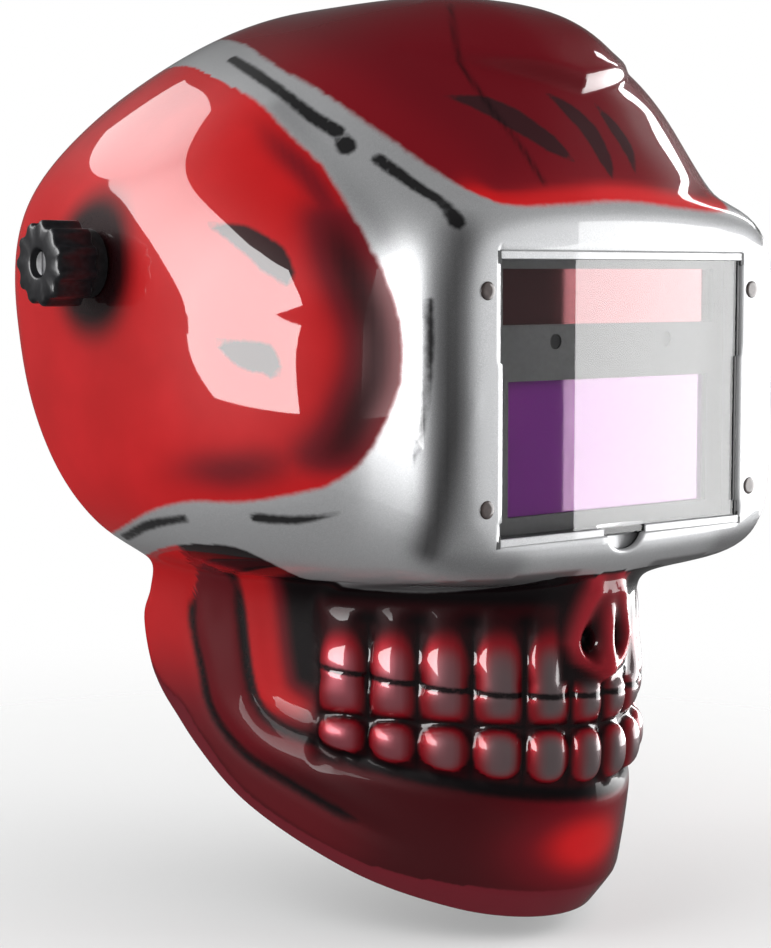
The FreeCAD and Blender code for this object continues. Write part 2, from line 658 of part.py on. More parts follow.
def make_rear_unit():
    """Ratchet box with its pinion, spindle, knob and nape pad."""
    width, height, depth = dim("ratchet_width"), dim("ratchet_height"), dim("ratchet_depth")
    start = dim("rear_reach_y") + dim("band_thickness") + 0.4
    box = Part.makeBox(width, depth, height, V(-width / 2, start, -height / 2))
    box = box.makeFillet(4, [e for e in box.Edges if abs(e.tangentAt(e.FirstParameter).y) > 0.9])
    hollow = Part.makeBox(width - 5, depth - 4, height - 5,
                          V(-width / 2 + 2.5, start + 2, -height / 2 + 2.5))
    rearward = V(0, 1, 0)
    bore_radius = dim("spindle_radius") + dim("running_gap")
    bore = Part.makeCylinder(bore_radius, 60, V(0, start - 5, 0), rearward)
    shaped("ratchet_housing", box.cut(hollow).cut(bore))
    teeth = 12
    tip_radius = dim("pinion_radius") + 1.2
    gap_circle = dim("pinion_radius") + 1.6
    pinion = Part.makeCylinder(tip_radius, 5, V(0, start + 4, 0), rearward)
    for k in range(teeth):
        angle = 2 * math.pi * k / teeth
        at = V(math.cos(angle) * gap_circle, start + 3, math.sin(angle) * gap_circle)
        pinion = pinion.cut(Part.makeCylinder(1.5, 8, at, rearward))
    spindle = Part.makeCylinder(dim("spindle_radius"), depth + 2, V(0, start + 1, 0), rearward)
    shaped("ratchet_pinion", pinion.fuse(spindle).removeSplitter())
    knob_start = start + depth + 0.5
    knob_length = dim("ratchet_knob_length")
    knob = Part.makeCylinder(dim("ratchet_knob_radius"), knob_length, V(0, knob_start, 0), rearward)
    grips = 10
    for k in range(grips):
        angle = 2 * math.pi * k / grips
        reach = dim("ratchet_knob_radius") + 2.5
        at = V(math.cos(angle) * reach, knob_start - 1, math.sin(angle) * reach)
        knob = knob.cut(Part.makeCylinder(4.2, knob_length + 2, at, rearward))
    socket = Part.makeCylinder(dim("spindle_radius"), 2.6, V(0, knob_start - 0.1, 0), rearward)
    knob = knob.cut(socket)
    shaped("ratchet_knob", knob)
    pad_box = Part.makeBox(58, dim("pad_thickness"), 26, V(-29, 0, -13))
    pad_box = pad_box.makeFillet(2.5, pad_box.Edges)
    pad_box.translate(V(0, dim("rear_reach_y") - dim("pad_thickness") - 6.5, 0))
    shaped("nape_pad", pad_box)


make_front_headband()
make_sweatband()
make_rear_band()
make_crown_straps()
make_rear_unit()

# ---------------------------------------------------------------- check and write
doc.recompute()
for thing in doc.Objects:
    if "Invalid" in thing.State or "Error" in thing.State:
        raise RuntimeError("failed feature " + thing.Name)
for thing in sub_parts:
    if thing.Shape.isNull() or not thing.Shape.isValid():
        raise RuntimeError("bad shape " + thing.Label)

os.makedirs("parts", exist_ok=True)
for thing in sub_parts:
    thing.Shape.exportStep("parts/%s.step" % thing.Label)
    print(thing.Label, len(thing.Shape.Solids), round(thing.Shape.Volume / 1000, 2), "cm3")
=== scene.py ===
# Welding helmet with a skull-shaped painted shell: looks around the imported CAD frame.
# Shapes are worked out in millimetres in the row frame (+X wearer's left, -Y front, +Z up)
# and handed to Blender in metres.
import math

import bmesh
import bpy
import numpy as np
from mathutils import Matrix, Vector


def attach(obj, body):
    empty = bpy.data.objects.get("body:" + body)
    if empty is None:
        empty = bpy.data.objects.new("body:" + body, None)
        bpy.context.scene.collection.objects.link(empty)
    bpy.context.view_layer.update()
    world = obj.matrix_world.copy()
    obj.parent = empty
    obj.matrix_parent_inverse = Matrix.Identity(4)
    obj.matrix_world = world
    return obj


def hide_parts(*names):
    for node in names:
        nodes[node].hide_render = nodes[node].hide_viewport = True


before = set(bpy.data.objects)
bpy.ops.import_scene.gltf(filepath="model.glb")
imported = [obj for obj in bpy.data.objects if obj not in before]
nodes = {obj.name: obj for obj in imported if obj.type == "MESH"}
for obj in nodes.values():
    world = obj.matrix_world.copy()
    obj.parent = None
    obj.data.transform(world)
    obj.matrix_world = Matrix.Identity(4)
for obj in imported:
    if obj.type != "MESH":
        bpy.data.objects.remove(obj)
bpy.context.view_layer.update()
MM = 0.001


# ---------------------------------------------------------------- small maths
def smooth_min(a, b, blend):
    return 0.5 * (a + b) - 0.5 * np.sqrt((a - b) ** 2 + blend ** 2)


def smooth_max(a, b, blend):
    return 0.5 * (a + b) + 0.5 * np.sqrt((a - b) ** 2 + blend ** 2)


def ramp(low, high, value):
    """0 below low, 1 above high, smooth between; low may be the larger."""
    t = np.clip((value - low) / (high - low), 0, 1)
    return t * t * (3 - 2 * t)


def hump(value, middle, width):
    return np.exp(-((value - middle) / width) ** 2)


# ---------------------------------------------------------------- shell surface
SHELL_THICKNESS = 2.8
HALF_WIDTH = 117
CREST = 14.0
CRANIUM_DROP = 92
FRONT_Y = -133
TINY = 1e-3


def from_centre(x, dy, dz, size):
    """Distance outside the surface where size is 1, along the ray from the centre."""
    return np.sqrt(x * x + dy * dy + dz * dz) * (1 - 1 / size)


def cranium(x, y, z):
    dy, dz = y + 4.0, z + 13.0
    rearward = 0.5 * (1 + dy / np.sqrt(dy * dy + 400))
    upward = 1 / (1 + np.exp(-(z - 22) / 8))
    front = 124 - 6 * upward
    reach = front + (165 - front) * rearward
    above = 1 / (1 + np.exp(-dz / 5))
    side_power = 2.5 - 0.88 * (1 - np.exp(-(dz / 42) ** 2))
    rise = np.maximum(105 - 0.0036 * smooth_max(y - 8, 0, 6) ** 2, 40)
    u = (np.abs(x) + TINY) / HALF_WIDTH
    rounded = np.sqrt(x * x + CREST ** 2) - CREST + TINY
    u_crest = rounded / (math.sqrt(HALF_WIDTH ** 2 + CREST ** 2) - CREST)
    v = (np.abs(dy) + TINY) / reach
    arch = (v ** 3.5 + ((np.abs(dz) + TINY) / rise) ** 3.5) ** (1 / 3.5)
    upper = (arch ** side_power + u_crest ** side_power) ** (1 / side_power)
    plan = (u ** 2.5 + v ** 2.5) ** 2
    lower = (plan + ((np.abs(dz) + TINY) / CRANIUM_DROP) ** 5) ** 0.2
    size = above * upper + (1 - above) * lower
    return from_centre(x, dy, dz, size)


def lens_housing(x, y, z):
    dy, dz = y + 75, z + 39.8
    size = (np.abs(x / 81) ** 6.5 + np.abs(dy / 61) ** 6.5 + np.abs(dz / 61.5) ** 6.5 + 1e-9) ** (1 / 6.5)
    return from_centre(x, dy, dz, size)


def jaw(x, y, z):
    below = smooth_max(-z - 150, 0, 8)
    front = -124 + 11 * (below / 70) ** 2
    return smooth_max((front + x * x / 63 - y) / np.sqrt(1 + (2 * x / 63) ** 2), z + 70, 10)


def shell_distance(x, y, z):
    upper = smooth_min(cranium(x, y, z), lens_housing(x, y, z), 10)
    flat_front = smooth_max(upper, FRONT_Y - y, 1.5)
    return smooth_min(flat_front, jaw(x, y, z), 6)


def shell_normals(points):
    step = 0.25
    parts = []
    for axis in range(3):
        offset = np.zeros(3)
        offset[axis] = step
        ahead, behind = points + offset, points - offset
        parts.append(shell_distance(*np.moveaxis(ahead, -1, 0))
                     - shell_distance(*np.moveaxis(behind, -1, 0)))
    normals = np.stack(parts, -1)
    return normals / np.linalg.norm(normals, axis=-1, keepdims=True)


# Rim of the shell from the crown down to the chin, as (y, z).
RIM = np.array([(62, 93), (58, 70), (56, 50), (56, 17), (56, 0), (54, -20), (46, -42), (31, -65), (13, -88),
                (4, -99), (6, -112), (9, -123), (5, -142), (-5, -160), (-27, -183), (-60, -203), (-87, -214),
                (-105, -219), (-140, -224)], float)


def spline(points, per_span=8):
    """Catmull-Rom line through given points."""
    p = np.asarray(points, float)
    p = np.vstack([2 * p[0] - p[1], p, 2 * p[-1] - p[-2]])
    t = np.linspace(0, 1, per_span, endpoint=False)[:, None]
    out = []
    for a, b, c, d in zip(p, p[1:], p[2:], p[3:]):
        out.append(0.5 * (2 * b + (c - a) * t + (2 * a - 5 * b + 4 * c - d) * t ** 2
                          + (3 * b - a - 3 * c + d) * t ** 3))
    return np.vstack(out + [p[-2][None]])


RIM_LINE = spline(RIM, 10)


def beyond_rim(x, y, z):
    """Positive behind or below the shell's rim, in millimetres or so."""
    best = np.full(np.shape(y), 1e9)
    sign = np.ones(np.shape(y))
    for (y0, z0), (y1, z1) in zip(RIM_LINE, RIM_LINE[1:]):
        ey, ez = y1 - y0, z1 - z0
        t = np.clip(((y - y0) * ey + (z - z0) * ez) / (ey * ey + ez * ez), 0, 1)
        qy, qz = y - y0 - t * ey, z - z0 - t * ez
        d = qy * qy + qz * qz
        near = d < best
        best = np.where(near, d, best)
        sign = np.where(near, np.where(ey * qz - ez * qy > 0, 1.0, -1.0), sign)
    bulge = 9 * np.clip(1 - (x / 62) ** 2, 0, 1) * ramp(50, 78, z)
    return sign * np.sqrt(best) - bulge


# ---------------------------------------------------------------- shell grid
# Rows are sheets that fan out from a line behind the head. Below SPLIT_SLOPE they sink to the chin.
# Columns are rays: straight ahead in the middle, then turning outwards about TURN_RADIUS.
FAN_Y = 160.0
SPLIT_SLOPE = -0.354
TURN_RADIUS = 100.0
RAY_START_Y = 15
RAY_REACH = 330.0
LOW_RIM_Z = -141.9
BELOW = RIM_LINE[RIM_LINE[:, 1] < LOW_RIM_Z][::-1]
BOTTOM = np.vstack([BELOW, [(30, -118), (80, -95), (200, -78)]])


def row_height(row, y):
    """Height of a row's sheet at y. Rows fan out from a line behind the head; below the window
    housing they bend towards the shell's bottom rim."""
    slope, sink = row[..., 0], row[..., 1]
    straight = slope * (FAN_Y - y)
    return straight + sink * (np.interp(y, BOTTOM[:, 0], BOTTOM[:, 1]) - straight)


def row_start(row):
    """How far back and how far to the side the rays of a row begin."""
    slope = row[..., 0]
    raised = np.maximum(RAY_START_Y, FAN_Y - 50 / np.maximum(slope, 0.05))
    start_y = np.where(slope > 0.05, raised, RAY_START_Y)
    side = 64 - 39 * ramp(0.35, 0.85, slope)
    return start_y, side


def on_shell(row, place):
    """Shell point met by a ray of the row: straight ahead in the middle, turning beyond it."""
    start_y, side = row_start(row)
    turn = np.maximum(place - side, 0) / TURN_RADIUS
    start_x = np.minimum(place, side)
    near = np.zeros(np.shape(place))
    far = np.full(np.shape(place), RAY_REACH)
    for _ in range(36):
        middle = 0.5 * (near + far)
        x, y = start_x + middle * np.sin(turn), start_y - middle * np.cos(turn)
        inside = shell_distance(x, y, row_height(row, y)) < 0
        near = np.where(inside, middle, near)
        far = np.where(inside, far, middle)
    x, y = start_x + near * np.sin(turn), start_y - near * np.cos(turn)
    return np.stack([x, y, row_height(row, y)], -1)


STEP_TOP_Z, STEP_LOW_Z = -31.0, -80.0
WINDOW_TOP_Z, WINDOW_LOW_Z = 4.0, -88.0
HOUSING_FRONT_Y = -120
NOTCH_Z, NOTCH_RADIUS = -84.0, 9.5


def shell_row_list():
    """Rows from chin to crown, spaced by arc length down the middle, finest over the teeth."""
    low = [(SPLIT_SLOPE, sink) for sink in np.linspace(0.997, 0, 900, endpoint=False)]
    high = [(slope, 0) for slope in np.linspace(SPLIT_SLOPE, 0.92, 1400)]
    rows = np.array(low + high)
    profile = on_shell(rows, np.zeros(len(rows)))
    kept = beyond_rim(profile[:, 0], profile[:, 1], profile[:, 2]) < 0
    last = np.nonzero(kept)[0][-1]
    rows, profile = rows[:last + 1], profile[:last + 1]
    arc = np.concatenate([[0], np.cumsum(np.linalg.norm(np.diff(profile, axis=0), axis=1))])
    front = profile[:, 1] < -95

    def arc_at(z):
        return float(np.interp(z, profile[front, 2], arc[front]))

    edges = [(-172, 2.3), (-110, 1.2), (WINDOW_LOW_Z, 1.7), (STEP_LOW_Z - 0.2, 3.9),
             (STEP_LOW_Z + 0.2, 0.4), (STEP_TOP_Z - 0.2, 3.9), (STEP_TOP_Z + 0.2, 0.4),
             (WINDOW_TOP_Z, 3.9), (52, 2.6), (68, 1.4)]
    stops = [0.0] + [arc_at(z) for z, _ in edges] + [arc[-1] - 0.6]
    spacings = [spacing for _, spacing in edges] + [2.7]
    wanted = []
    for a, b, spacing in zip(stops, stops[1:], spacings):
        count = max(int(math.ceil((b - a) / spacing - 0.05)), 1)
        wanted.extend(np.linspace(a, b, count + 1)[:-1])
    wanted.append(stops[-1])
    return np.stack([np.interp(wanted, arc, rows[:, 0]), np.interp(wanted, arc, rows[:, 1])], -1)


MIDDLE_COLUMNS = 46
SIDE_COLUMNS = 68
WINDOW_X = 56.0


def shell_rows():
    """Surface points of the wearer's-left half, rows by columns, ending exactly on the rim."""
    rows = shell_row_list()
    places = np.concatenate([np.linspace(0, 64, 65), np.linspace(65, RAY_REACH, 420)])
    grid_row = np.repeat(rows[:, None], len(places), 1)
    fine = on_shell(grid_row, np.repeat(places[None], len(rows), 0))
    rim = beyond_rim(fine[..., 0], fine[..., 1], fine[..., 2])
    wanted = np.zeros((len(rows), MIDDLE_COLUMNS + SIDE_COLUMNS + 1))
    for i in range(len(rows)):
        crossing = np.nonzero(rim[i] > 0)[0]
        k = max(crossing[0], 1)
        share = -rim[i, k - 1] / (rim[i, k] - rim[i, k - 1])
        end = places[k - 1] + np.clip(share, 0, 1) * (places[k] - places[k - 1])
        middle_end = min(WINDOW_X, 0.8 * end)
        arc = np.concatenate([[0], np.cumsum(np.linalg.norm(np.diff(fine[i], axis=0), axis=1))])
        a, b = np.interp([middle_end, end], places, arc)
        t = np.linspace(0, 1, SIDE_COLUMNS + 1)[1:]
        wanted[i, :MIDDLE_COLUMNS + 1] = np.linspace(0, middle_end, MIDDLE_COLUMNS + 1)
        wanted[i, MIDDLE_COLUMNS + 1:] = np.interp(a + (b - a) * t ** 1.2, arc, places)
    return on_shell(np.repeat(rows[:, None], wanted.shape[1], 1), wanted)


half = shell_rows()
mirrored = half[:, :0:-1] * np.array([-1, 1, 1])
BASE = np.concatenate([mirrored, half], 1)
ROWS, COLUMNS = BASE.shape[:2]


def shape_window(points):
    """Steps the window's sides and draws its lower edge down into the half-round thumb notch."""
    x, y, z = np.moveaxis(points, -1, 0)
    arc = NOTCH_Z - np.sqrt(np.maximum(NOTCH_RADIUS ** 2 - x ** 2, 0)) - WINDOW_LOW_Z
    in_front = y < HOUSING_FRONT_Y
    pull = np.minimum(arc, 0) * (np.abs(x) < NOTCH_RADIUS) * ramp(-104, -88.2, z) * (z < -87.5) * in_front
    moved = points.copy()
    moved[..., 2] += pull
    narrow = (z < STEP_TOP_Z) & (z > STEP_LOW_Z) & in_front
    moved[..., 0] -= np.sign(x) * 0.9 * narrow * ramp(60, 56.2, np.abs(x)) * (np.abs(x) > 55)
    for _ in range(4):
        d = shell_distance(*np.moveaxis(moved, -1, 0))
        moved -= shell_normals(moved) * d[..., None] * 0.9
    return moved


PLAIN = BASE
BASE = shape_window(BASE)
NORMALS = shell_normals(BASE)


# ---------------------------------------------------------------- lines drawn on the shell
FOLD = np.where(BASE[..., :1] < 0, [-1, 1, 1], [1, 1, 1])


def line_field(control, mirror=True):
    """Distance of each shell point from a line on the surface, its side, and its place along the line.

    The side is positive to the right of the line as it is followed, seen from outside on the
    wearer's left; lines are mirrored to both sides unless told otherwise."""
    line = spline(control)
    points = BASE * FOLD if mirror else BASE
    normals = NORMALS * FOLD if mirror else NORMALS
    best = np.full((ROWS, COLUMNS), 1e9)
    side = np.ones((ROWS, COLUMNS))
    place = np.zeros((ROWS, COLUMNS))
    spans = len(line) - 1
    for k, (a, b) in enumerate(zip(line, line[1:])):
        e = b - a
        t = np.clip(((points - a) @ e) / (e @ e), 0, 1)
        gap = points - a - t[..., None] * e
        d = (gap ** 2).sum(-1)
        near = d < best
        turned = np.cross(e, normals)
        best = np.where(near, d, best)
        side = np.where(near, np.where((turned * gap).sum(-1) > 0, 1.0, -1.0), side)
        place = np.where(near, (k + t) / spans, place)
    return np.sqrt(best), side, place


def signed_field(control):
    distance, side, _ = line_field(control)
    return distance * side


def stroke_field(control, widths, mirror=True):
    """Distance outside a brush stroke whose half width follows the given widths."""
    distance, _, place = line_field(control, mirror)
    stops = np.linspace(0, 1, len(widths))
    return distance - np.interp(place, stops, widths)


OVAL = [(46, 74, 70), (58, 48, 72), (67, 14, 69), (79, -22, 61), (85, -50, 51), (88, -70, 40), (87, -86, 29),
        (86, -99, 14), (84, -111, -3), (82, -117, -20), (83, -117, -36), (84, -112, -48), (87, -105, -60),
        (92, -95, -68), (99, -82, -72), (106, -66, -75), (111, -46, -76), (112, -25, -81), (107, 2, -90),
        (102, 24, -97), (96, 50, -104)]
TOP_EDGE = [(28, 80, 72), (44, 32, 81), (57, -5, 76), (68, -32, 68), (74, -54, 61), (73, -83, 47),
            (67, -99, 36), (60, -113, 26), (55, -126, 19), (46, -130, 17), (28, -131, 18),
            (0, -131, 20), (-28, -131, 18)]
CHEEK_EDGE = [(86, 40, -108), (93, 9, -102), (102, -18, -95), (103, -37, -91), (100, -56, -91),
              (90, -64, -97), (69, -66, -105), (54, -84, -107), (41, -104, -105), (30, -124, -102),
              (10, -129, -101), (-20, -129, -101)]
OUTER_GROOVE = [(92, -20, -100), (85, -10, -119), (83, -13, -138), (82, -18, -154), (77, -30, -167),
                (69, -47, -176), (57, -69, -187), (43, -90, -196)]
INNER_GROOVE = [(82, -28, -104), (78, -28, -118), (77, -30, -136), (75, -33, -148), (72, -41, -156),
                (66, -54, -160), (61, -65, -164), (51, -81, -168), (39, -99, -171), (19, -117, -174),
                (0, -122, -175), (-19, -117, -174)]
FLANGE_EDGE = [(92, 14, -128), (90, 3, -144), (86, -6, -152), (83, -14, -163), (75, -32, -182),
               (57, -68, -200), (32, -101, -206), (0, -117, -208), (-32, -101, -206)]

oval = signed_field(OVAL)
top_edge = signed_field(TOP_EDGE)
cheek_edge = signed_field(CHEEK_EDGE)
outer_groove, outer_side, outer_place = line_field(OUTER_GROOVE)
inner_groove, inner_side, _ = line_field(INNER_GROOVE)
flange = signed_field(FLANGE_EDGE)
X, Y, Z = np.moveaxis(BASE, -1, 0)
AX = np.abs(X)
LOWER_FACE = (Y < 30) & (Z < -98)

# ---------------------------------------------------------------- relief of the lower face
TEETH_EDGES = np.array([0, 12.5, 25.5, 38, 48.5, 57.5, 66.0])
OUTWARD = AX / 64
GUM_Z = -140.6 + 6.6 * OUTWARD ** 3
PART_Z = -151.3 + 1.2 * OUTWARD ** 2
LOWER_Z = -171.0 + 9 * OUTWARD ** 2
ROOT_Z = -111.5 - 3.5 * OUTWARD ** 2


def tooth_share():
    """Place across the tooth a point is on, from -1 to 1."""
    k = np.clip(np.searchsorted(TEETH_EDGES, AX, side="right") - 1, 0, len(TEETH_EDGES) - 2)
    low, high = TEETH_EDGES[k], TEETH_EDGES[k + 1]
    return 2 * (AX - low) / (high - low) - 1


across = tooth_share()
in_arch = ramp(67.5, 65, AX) * (Y < -40)


def pearl(share, down):
    """Rounded tooth face: 1 at its middle, falling to 0 at its outline."""
    return np.clip(1 - np.abs(share) ** 2.4 - np.abs(down) ** 2.6, 0, 1) ** 0.62


column_up = (Z - PART_Z) / (ROOT_Z - PART_Z)
lower_down = 2 * (Z - PART_Z) / (LOWER_Z - PART_Z) - 1
column_width = 1.0 - 0.10 * hump(column_up, 0.36, 0.08) - 0.30 * ramp(0.5, 1.0, column_up)
on_crown = column_up < 0.3
from_widest = np.where(on_crown, (column_up - 0.3) / 0.3, (column_up - 0.3) / 0.76)
column_end = 1 - np.clip(np.abs(from_widest), 0, 1) ** np.where(on_crown, 3, 1.7)
upper_tooth = np.clip(1 - np.abs(across / column_width) ** 2.4, 0, 1) ** 0.62 * column_end * in_arch
upper_tooth = upper_tooth * (column_up > 0) * (column_up < 1.02)
lower_tooth = pearl(across, lower_down) * (np.abs(lower_down) < 1) * in_arch

wing_x = np.interp(Z, (-134, -130, -123, -114, -104), (2, 8.5, 12.0, 9.5, 6.0))
nose_zone = ramp(19, 15, AX) * ramp(-140, -135, Z) * (Y < -100)
wings = hump(AX, wing_x, 2.9) * ramp(-136, -131, Z)
septum = hump(X, 0, 2.6) * ramp(-108, -118, Z) * ramp(-139, -134, Z)
bridge = hump(AX, 0, 6.5) * ramp(-119, -106, Z)
tip = hump(np.hypot(X / 1.2, Z + 131), 0, 4.5)
nostrils = hump(AX, 6.6, 2.3) * hump(Z, -123.0, 4.2)


def relief():
    """Height of the lower face above the smooth jaw, in millimetres."""
    lower = ramp(-102, -108, Z) * LOWER_FACE
    inside_groove = ramp(-6, 13, inner_groove * inner_side) * ramp(-180, -160, Z)
    height = -2.4 * inside_groove * lower * (1 - in_arch * ramp(LOWER_Z - 3, LOWER_Z, Z))
    teeth_zone = in_arch * ramp(LOWER_Z - 4, LOWER_Z + 1, Z) * lower * (1 - nose_zone)
    height += teeth_zone * (-2.0 * ramp(1.05, 0.6, column_up) + 4.8 * upper_tooth + 5.6 * lower_tooth)
    height += -0.35 * hump(Z, GUM_Z, 0.9) * in_arch * lower
    height += -0.7 * hump(inner_groove, 0, 2.6) * lower
    height += -0.7 * hump(outer_groove, 0, 2.6) * lower * ramp(1.0, 0.85, outer_place)
    height += 1.0 * hump(outer_groove * outer_side, 6.5, 5) * lower * ramp(1.0, 0.7, outer_place)
    height += -0.5 * hump(Z, LOWER_Z - 3, 2.6) * in_arch * lower
    mound = 1.4 * ramp(1.15, 0.6, AX / np.maximum(wing_x, 1)) * ramp(-137, -128, Z)
    nose = mound + 2.4 * wings + 2.8 * septum + 2.0 * bridge + 1.6 * tip - 6.5 * nostrils
    height += nose * nose_zone * ramp(-100, -107, Z)
    ledge_z = 58.5 + 0.22 * AX
    brow = ramp(ledge_z - 2.4, ledge_z + 3.0, Z) * ramp(96, 70, Z) * ramp(34, 12, AX)
    height += 2.2 * brow * (Y < -60)
    height += -3.2 * ramp(28, 52, Z) * ramp(ledge_z + 2, ledge_z - 3, Z) * ramp(62, 25, AX) * (Y < -80)
    pip = np.hypot(AX - 67, Z + 43)
    height += 0.5 * hump(pip, 2.3, 0.8) * (Y < HOUSING_FRONT_Y)
    below = np.clip(-flange, 0, 30)
    height += -0.42 * below * ramp(-128, -150, Z) * LOWER_FACE
    return height


HEIGHT = relief()
OUTER = BASE + NORMALS * HEIGHT[..., None]
INNER = OUTER - NORMALS * SHELL_THICKNESS


# ---------------------------------------------------------------- paint fields
def ink_strokes():
    """Black brush marks: distance outside the nearest mark."""
    marks = [
        ([(65, -8, 70), (72, -28, 64), (78, -47, 58), (81, -71, 47), (79, -83, 41)],
         (1.6, 1.9, 1.8, 2.0, 2.4)),
        ([(79, -87, 37), (79, -87.6, 36)], (3.0, 3.0)),
        ([(74, -97, 32), (70, -107, 25), (68, -117, 19), (69, -128, 12)], (2.0, 1.9, 2.0, 2.6)),
        ([(78.6, -126, -12), (78.3, -126, -26), (79, -125, -44), (80.6, -122, -61)], (1.3, 1.3, 0.9, 0.5)),
        ([(104, 2, -93), (109, -21, -86), (109, -42, -82)], (1.4, 1.6, 1.2)),
        ([(102, -70, -80), (95, -84, -80), (88, -98, -77)], (1.6, 1.3, -0.3)),
        ([(110, -56, 12), (106, -69, 8), (102, -80, 1), (100.5, -85, -4)], (0.2, 3.6, 5.0, 3.0)),
        ([(111, -60, -24), (108, -70, -28), (104.5, -78, -30), (103, -81, -33)], (0.2, 4.0, 5.0, 2.5)),
    ]
    fields = [stroke_field(points, widths) for points, widths in marks]
    return np.minimum.reduce(fields)


def top_claws():
    """Dark marks on the crown, where the photo shows them and not mirrored."""
    claws = [
        ([(-50, -101, 53), (-40, -108, 51), (-31, -114, 46), (-21, -120, 38), (-14, -124, 32)],
         (0.2, 3.2, 4.4, 3.6, 0.2)),
        ([(-16, -114, 56), (-8, -117, 50), (-2, -120, 43), (0, -124, 33), (0, -126, 27)],
         (0.2, 3.0, 4.0, 3.0, 0.2)),
        ([(5, -116, 53), (10, -119, 46), (13, -121, 38), (12, -125, 29)], (0.2, 2.8, 3.0, 0.2)),
    ]
    return np.minimum.reduce([stroke_field(points, widths, mirror=False) for points, widths in claws])


def soft_shadows():
    """Painted shade in black, 0 to 1, over the silver and red: the helmet's airbrush, laid where shade falls
    in the valley beside the window housing, round the knob, along the band and at the housing's lower corner.
    """
    valley, _, valley_place = line_field([
        (66, -127, 18), (70, -131, 7), (73.5, -131, -11), (74, -131, -30), (74, -131, -50), (76, -129, -72),
        (77, -124, -88)])
    dark = 0.86 * hump(valley, 0, 6.4) * np.interp(valley_place, (0, 0.15, 0.7, 1), (0, 0.8, 1, 1))
    knob = np.sqrt(Y ** 2 + Z ** 2)
    dark = np.maximum(dark, 0.98 * ramp(31, 17, knob) * (AX > 60))
    along_band = hump(signed_field([(84, -60, 50), (88, -84, 36), (84, -104, 16), (80, -118, -4)]), 0, 5)
    dark = np.maximum(dark, 0.30 * along_band * (oval > 0) * (top_edge < 0))
    low_corner = line_field([(77, -124, -90), (66, -130, -94), (50, -132, -96)])[0]
    dark = np.maximum(dark, 0.45 * hump(low_corner, 0, 7))
    return dark


def red_shade():
    """0 for bright red to 1 for near black, inside the oval, the top and the lower face."""
    inside = -oval
    front = ramp(-70, -104, Y) * ramp(30, 12, Z) * ramp(-74, -58, Z)
    shade_oval = 0.86 * hump(inside, 9, 12) * front
    low = hump(Y, -66, 26) * hump(inside, 10, 8) * (Z < -40)
    high = 0.5 * hump(inside, 5, 5) * (Z > 5) * ramp(-40, -80, Y)
    shade_oval = np.maximum(shade_oval, np.maximum(0.5 * low, high))
    near_front = ramp(-112, -126, Y) * ramp(10, 2, top_edge)
    shade_top = 0.50 + 0.10 * ramp(3, 26, top_edge) - 0.48 * near_front
    return shade_oval, shade_top, lower_face_shade()


def lower_face_shade():
    """Shade of the lower face, blended softly from one area to the next, with painted shade in the hollow
    beside the teeth and painted highlights on a red stripe there and on the chin.
    """
    signed_inner = inner_groove * inner_side
    # Painted highlight: a bright red stripe just inside the inner groove.
    bar = ramp(-1, 3, signed_inner) * ramp(21, 9, signed_inner) * ramp(62, 70, AX) * ramp(-162, -146, Z)
    inner_area = ramp(-1.5, 1.5, signed_inner)
    shade = 0.80 - 0.14 * ramp(40, 5, AX)
    # Painted shade: near black over the hollow between the inner groove and the teeth, except on the
    # highlight stripe.
    shade = shade + (0.97 - 0.85 * bar - shade) * inner_area
    between_grooves = ramp(-2, 2, outer_groove * outer_side) * (1 - inner_area) * ramp(-175, -160, Z)
    shade = shade + (0.62 - shade) * between_grooves
    outside = ramp(2, -2, outer_groove * outer_side) * ramp(-0.5, 1.5, flange) * ramp(0.98, 0.75, outer_place)
    outside = outside * (Y > -95) * ramp(45, 60, AX)
    shade = shade + (0.12 + 0.55 * ramp(-118, -170, Z) - shade) * outside
    # Painted highlight: bright red on the chin's bulge.
    chin_painted_highlight = hump(X, -3, 17) * hump(Z, -192, 10) * ramp(-0.5, 3, flange)
    return np.clip(shade - 0.72 * chin_painted_highlight, 0, 1)


def tooth_paint():
    """Height share, black share and zone of the teeth and roots; the black is painted shade in the parting,
    the gaps, on each tooth's side towards the middle, under the lower teeth and above the roots.
    """
    bulge = np.clip(upper_tooth + lower_tooth, 0, 1) * (1 - 0.5 * ramp(0.55, 0.95, column_up))
    # Painted shade: black in the parting between upper and lower teeth.
    black = 0.95 * hump(Z, PART_Z, 0.9) * in_arch
    # Painted shade on each tooth's side towards the middle.
    shaded_side = ramp(-0.45, -0.95, across) * in_arch * ramp(-112, -118, Z) * (Z > LOWER_Z)
    black = np.maximum(black, 0.55 * shaded_side)
    # Painted shade in the gaps between teeth and below the lower teeth.
    gaps = hump(np.abs(across), 1.0, 0.14) * in_arch
    black = np.maximum(black, 0.85 * gaps * ramp(-112, -118, Z) * ramp(LOWER_Z - 5, LOWER_Z, Z))
    black = np.maximum(black, 0.95 * hump(Z, LOWER_Z - 3.0, 2.0) * in_arch)
    # Painted shade between the root tops and above the roots, under the cheek ledge.
    dots = np.zeros_like(Z)
    for edge in TEETH_EDGES[1:-1]:
        dots = np.maximum(dots, hump(AX, edge, 2.8) * hump(Z, -116.5, 3.2))
    black = np.maximum(black, 0.97 * dots * LOWER_FACE)
    black = np.maximum(black, 0.6 * ramp(-112, -106, Z) * in_arch * (AX > 14))
    zone = in_arch * LOWER_FACE * ramp(-108, -113, Z) * ramp(LOWER_Z - 4, LOWER_Z, Z)
    return bulge * zone, np.clip(black * (1 - nose_zone), 0, 1) * LOWER_FACE, zone


def crown_crease():
    """Thin dark crease across the crown, where the photo shows it and not mirrored."""
    crease = line_field([(-23, -73, 86), (-36, -90, 73), (-40, -98, 64), (-38, -109, 51), (-33, -117, 38),
                         (-30, -125, 25)], mirror=False)[0]
    return 0.7 * hump(crease, 0, 0.9)


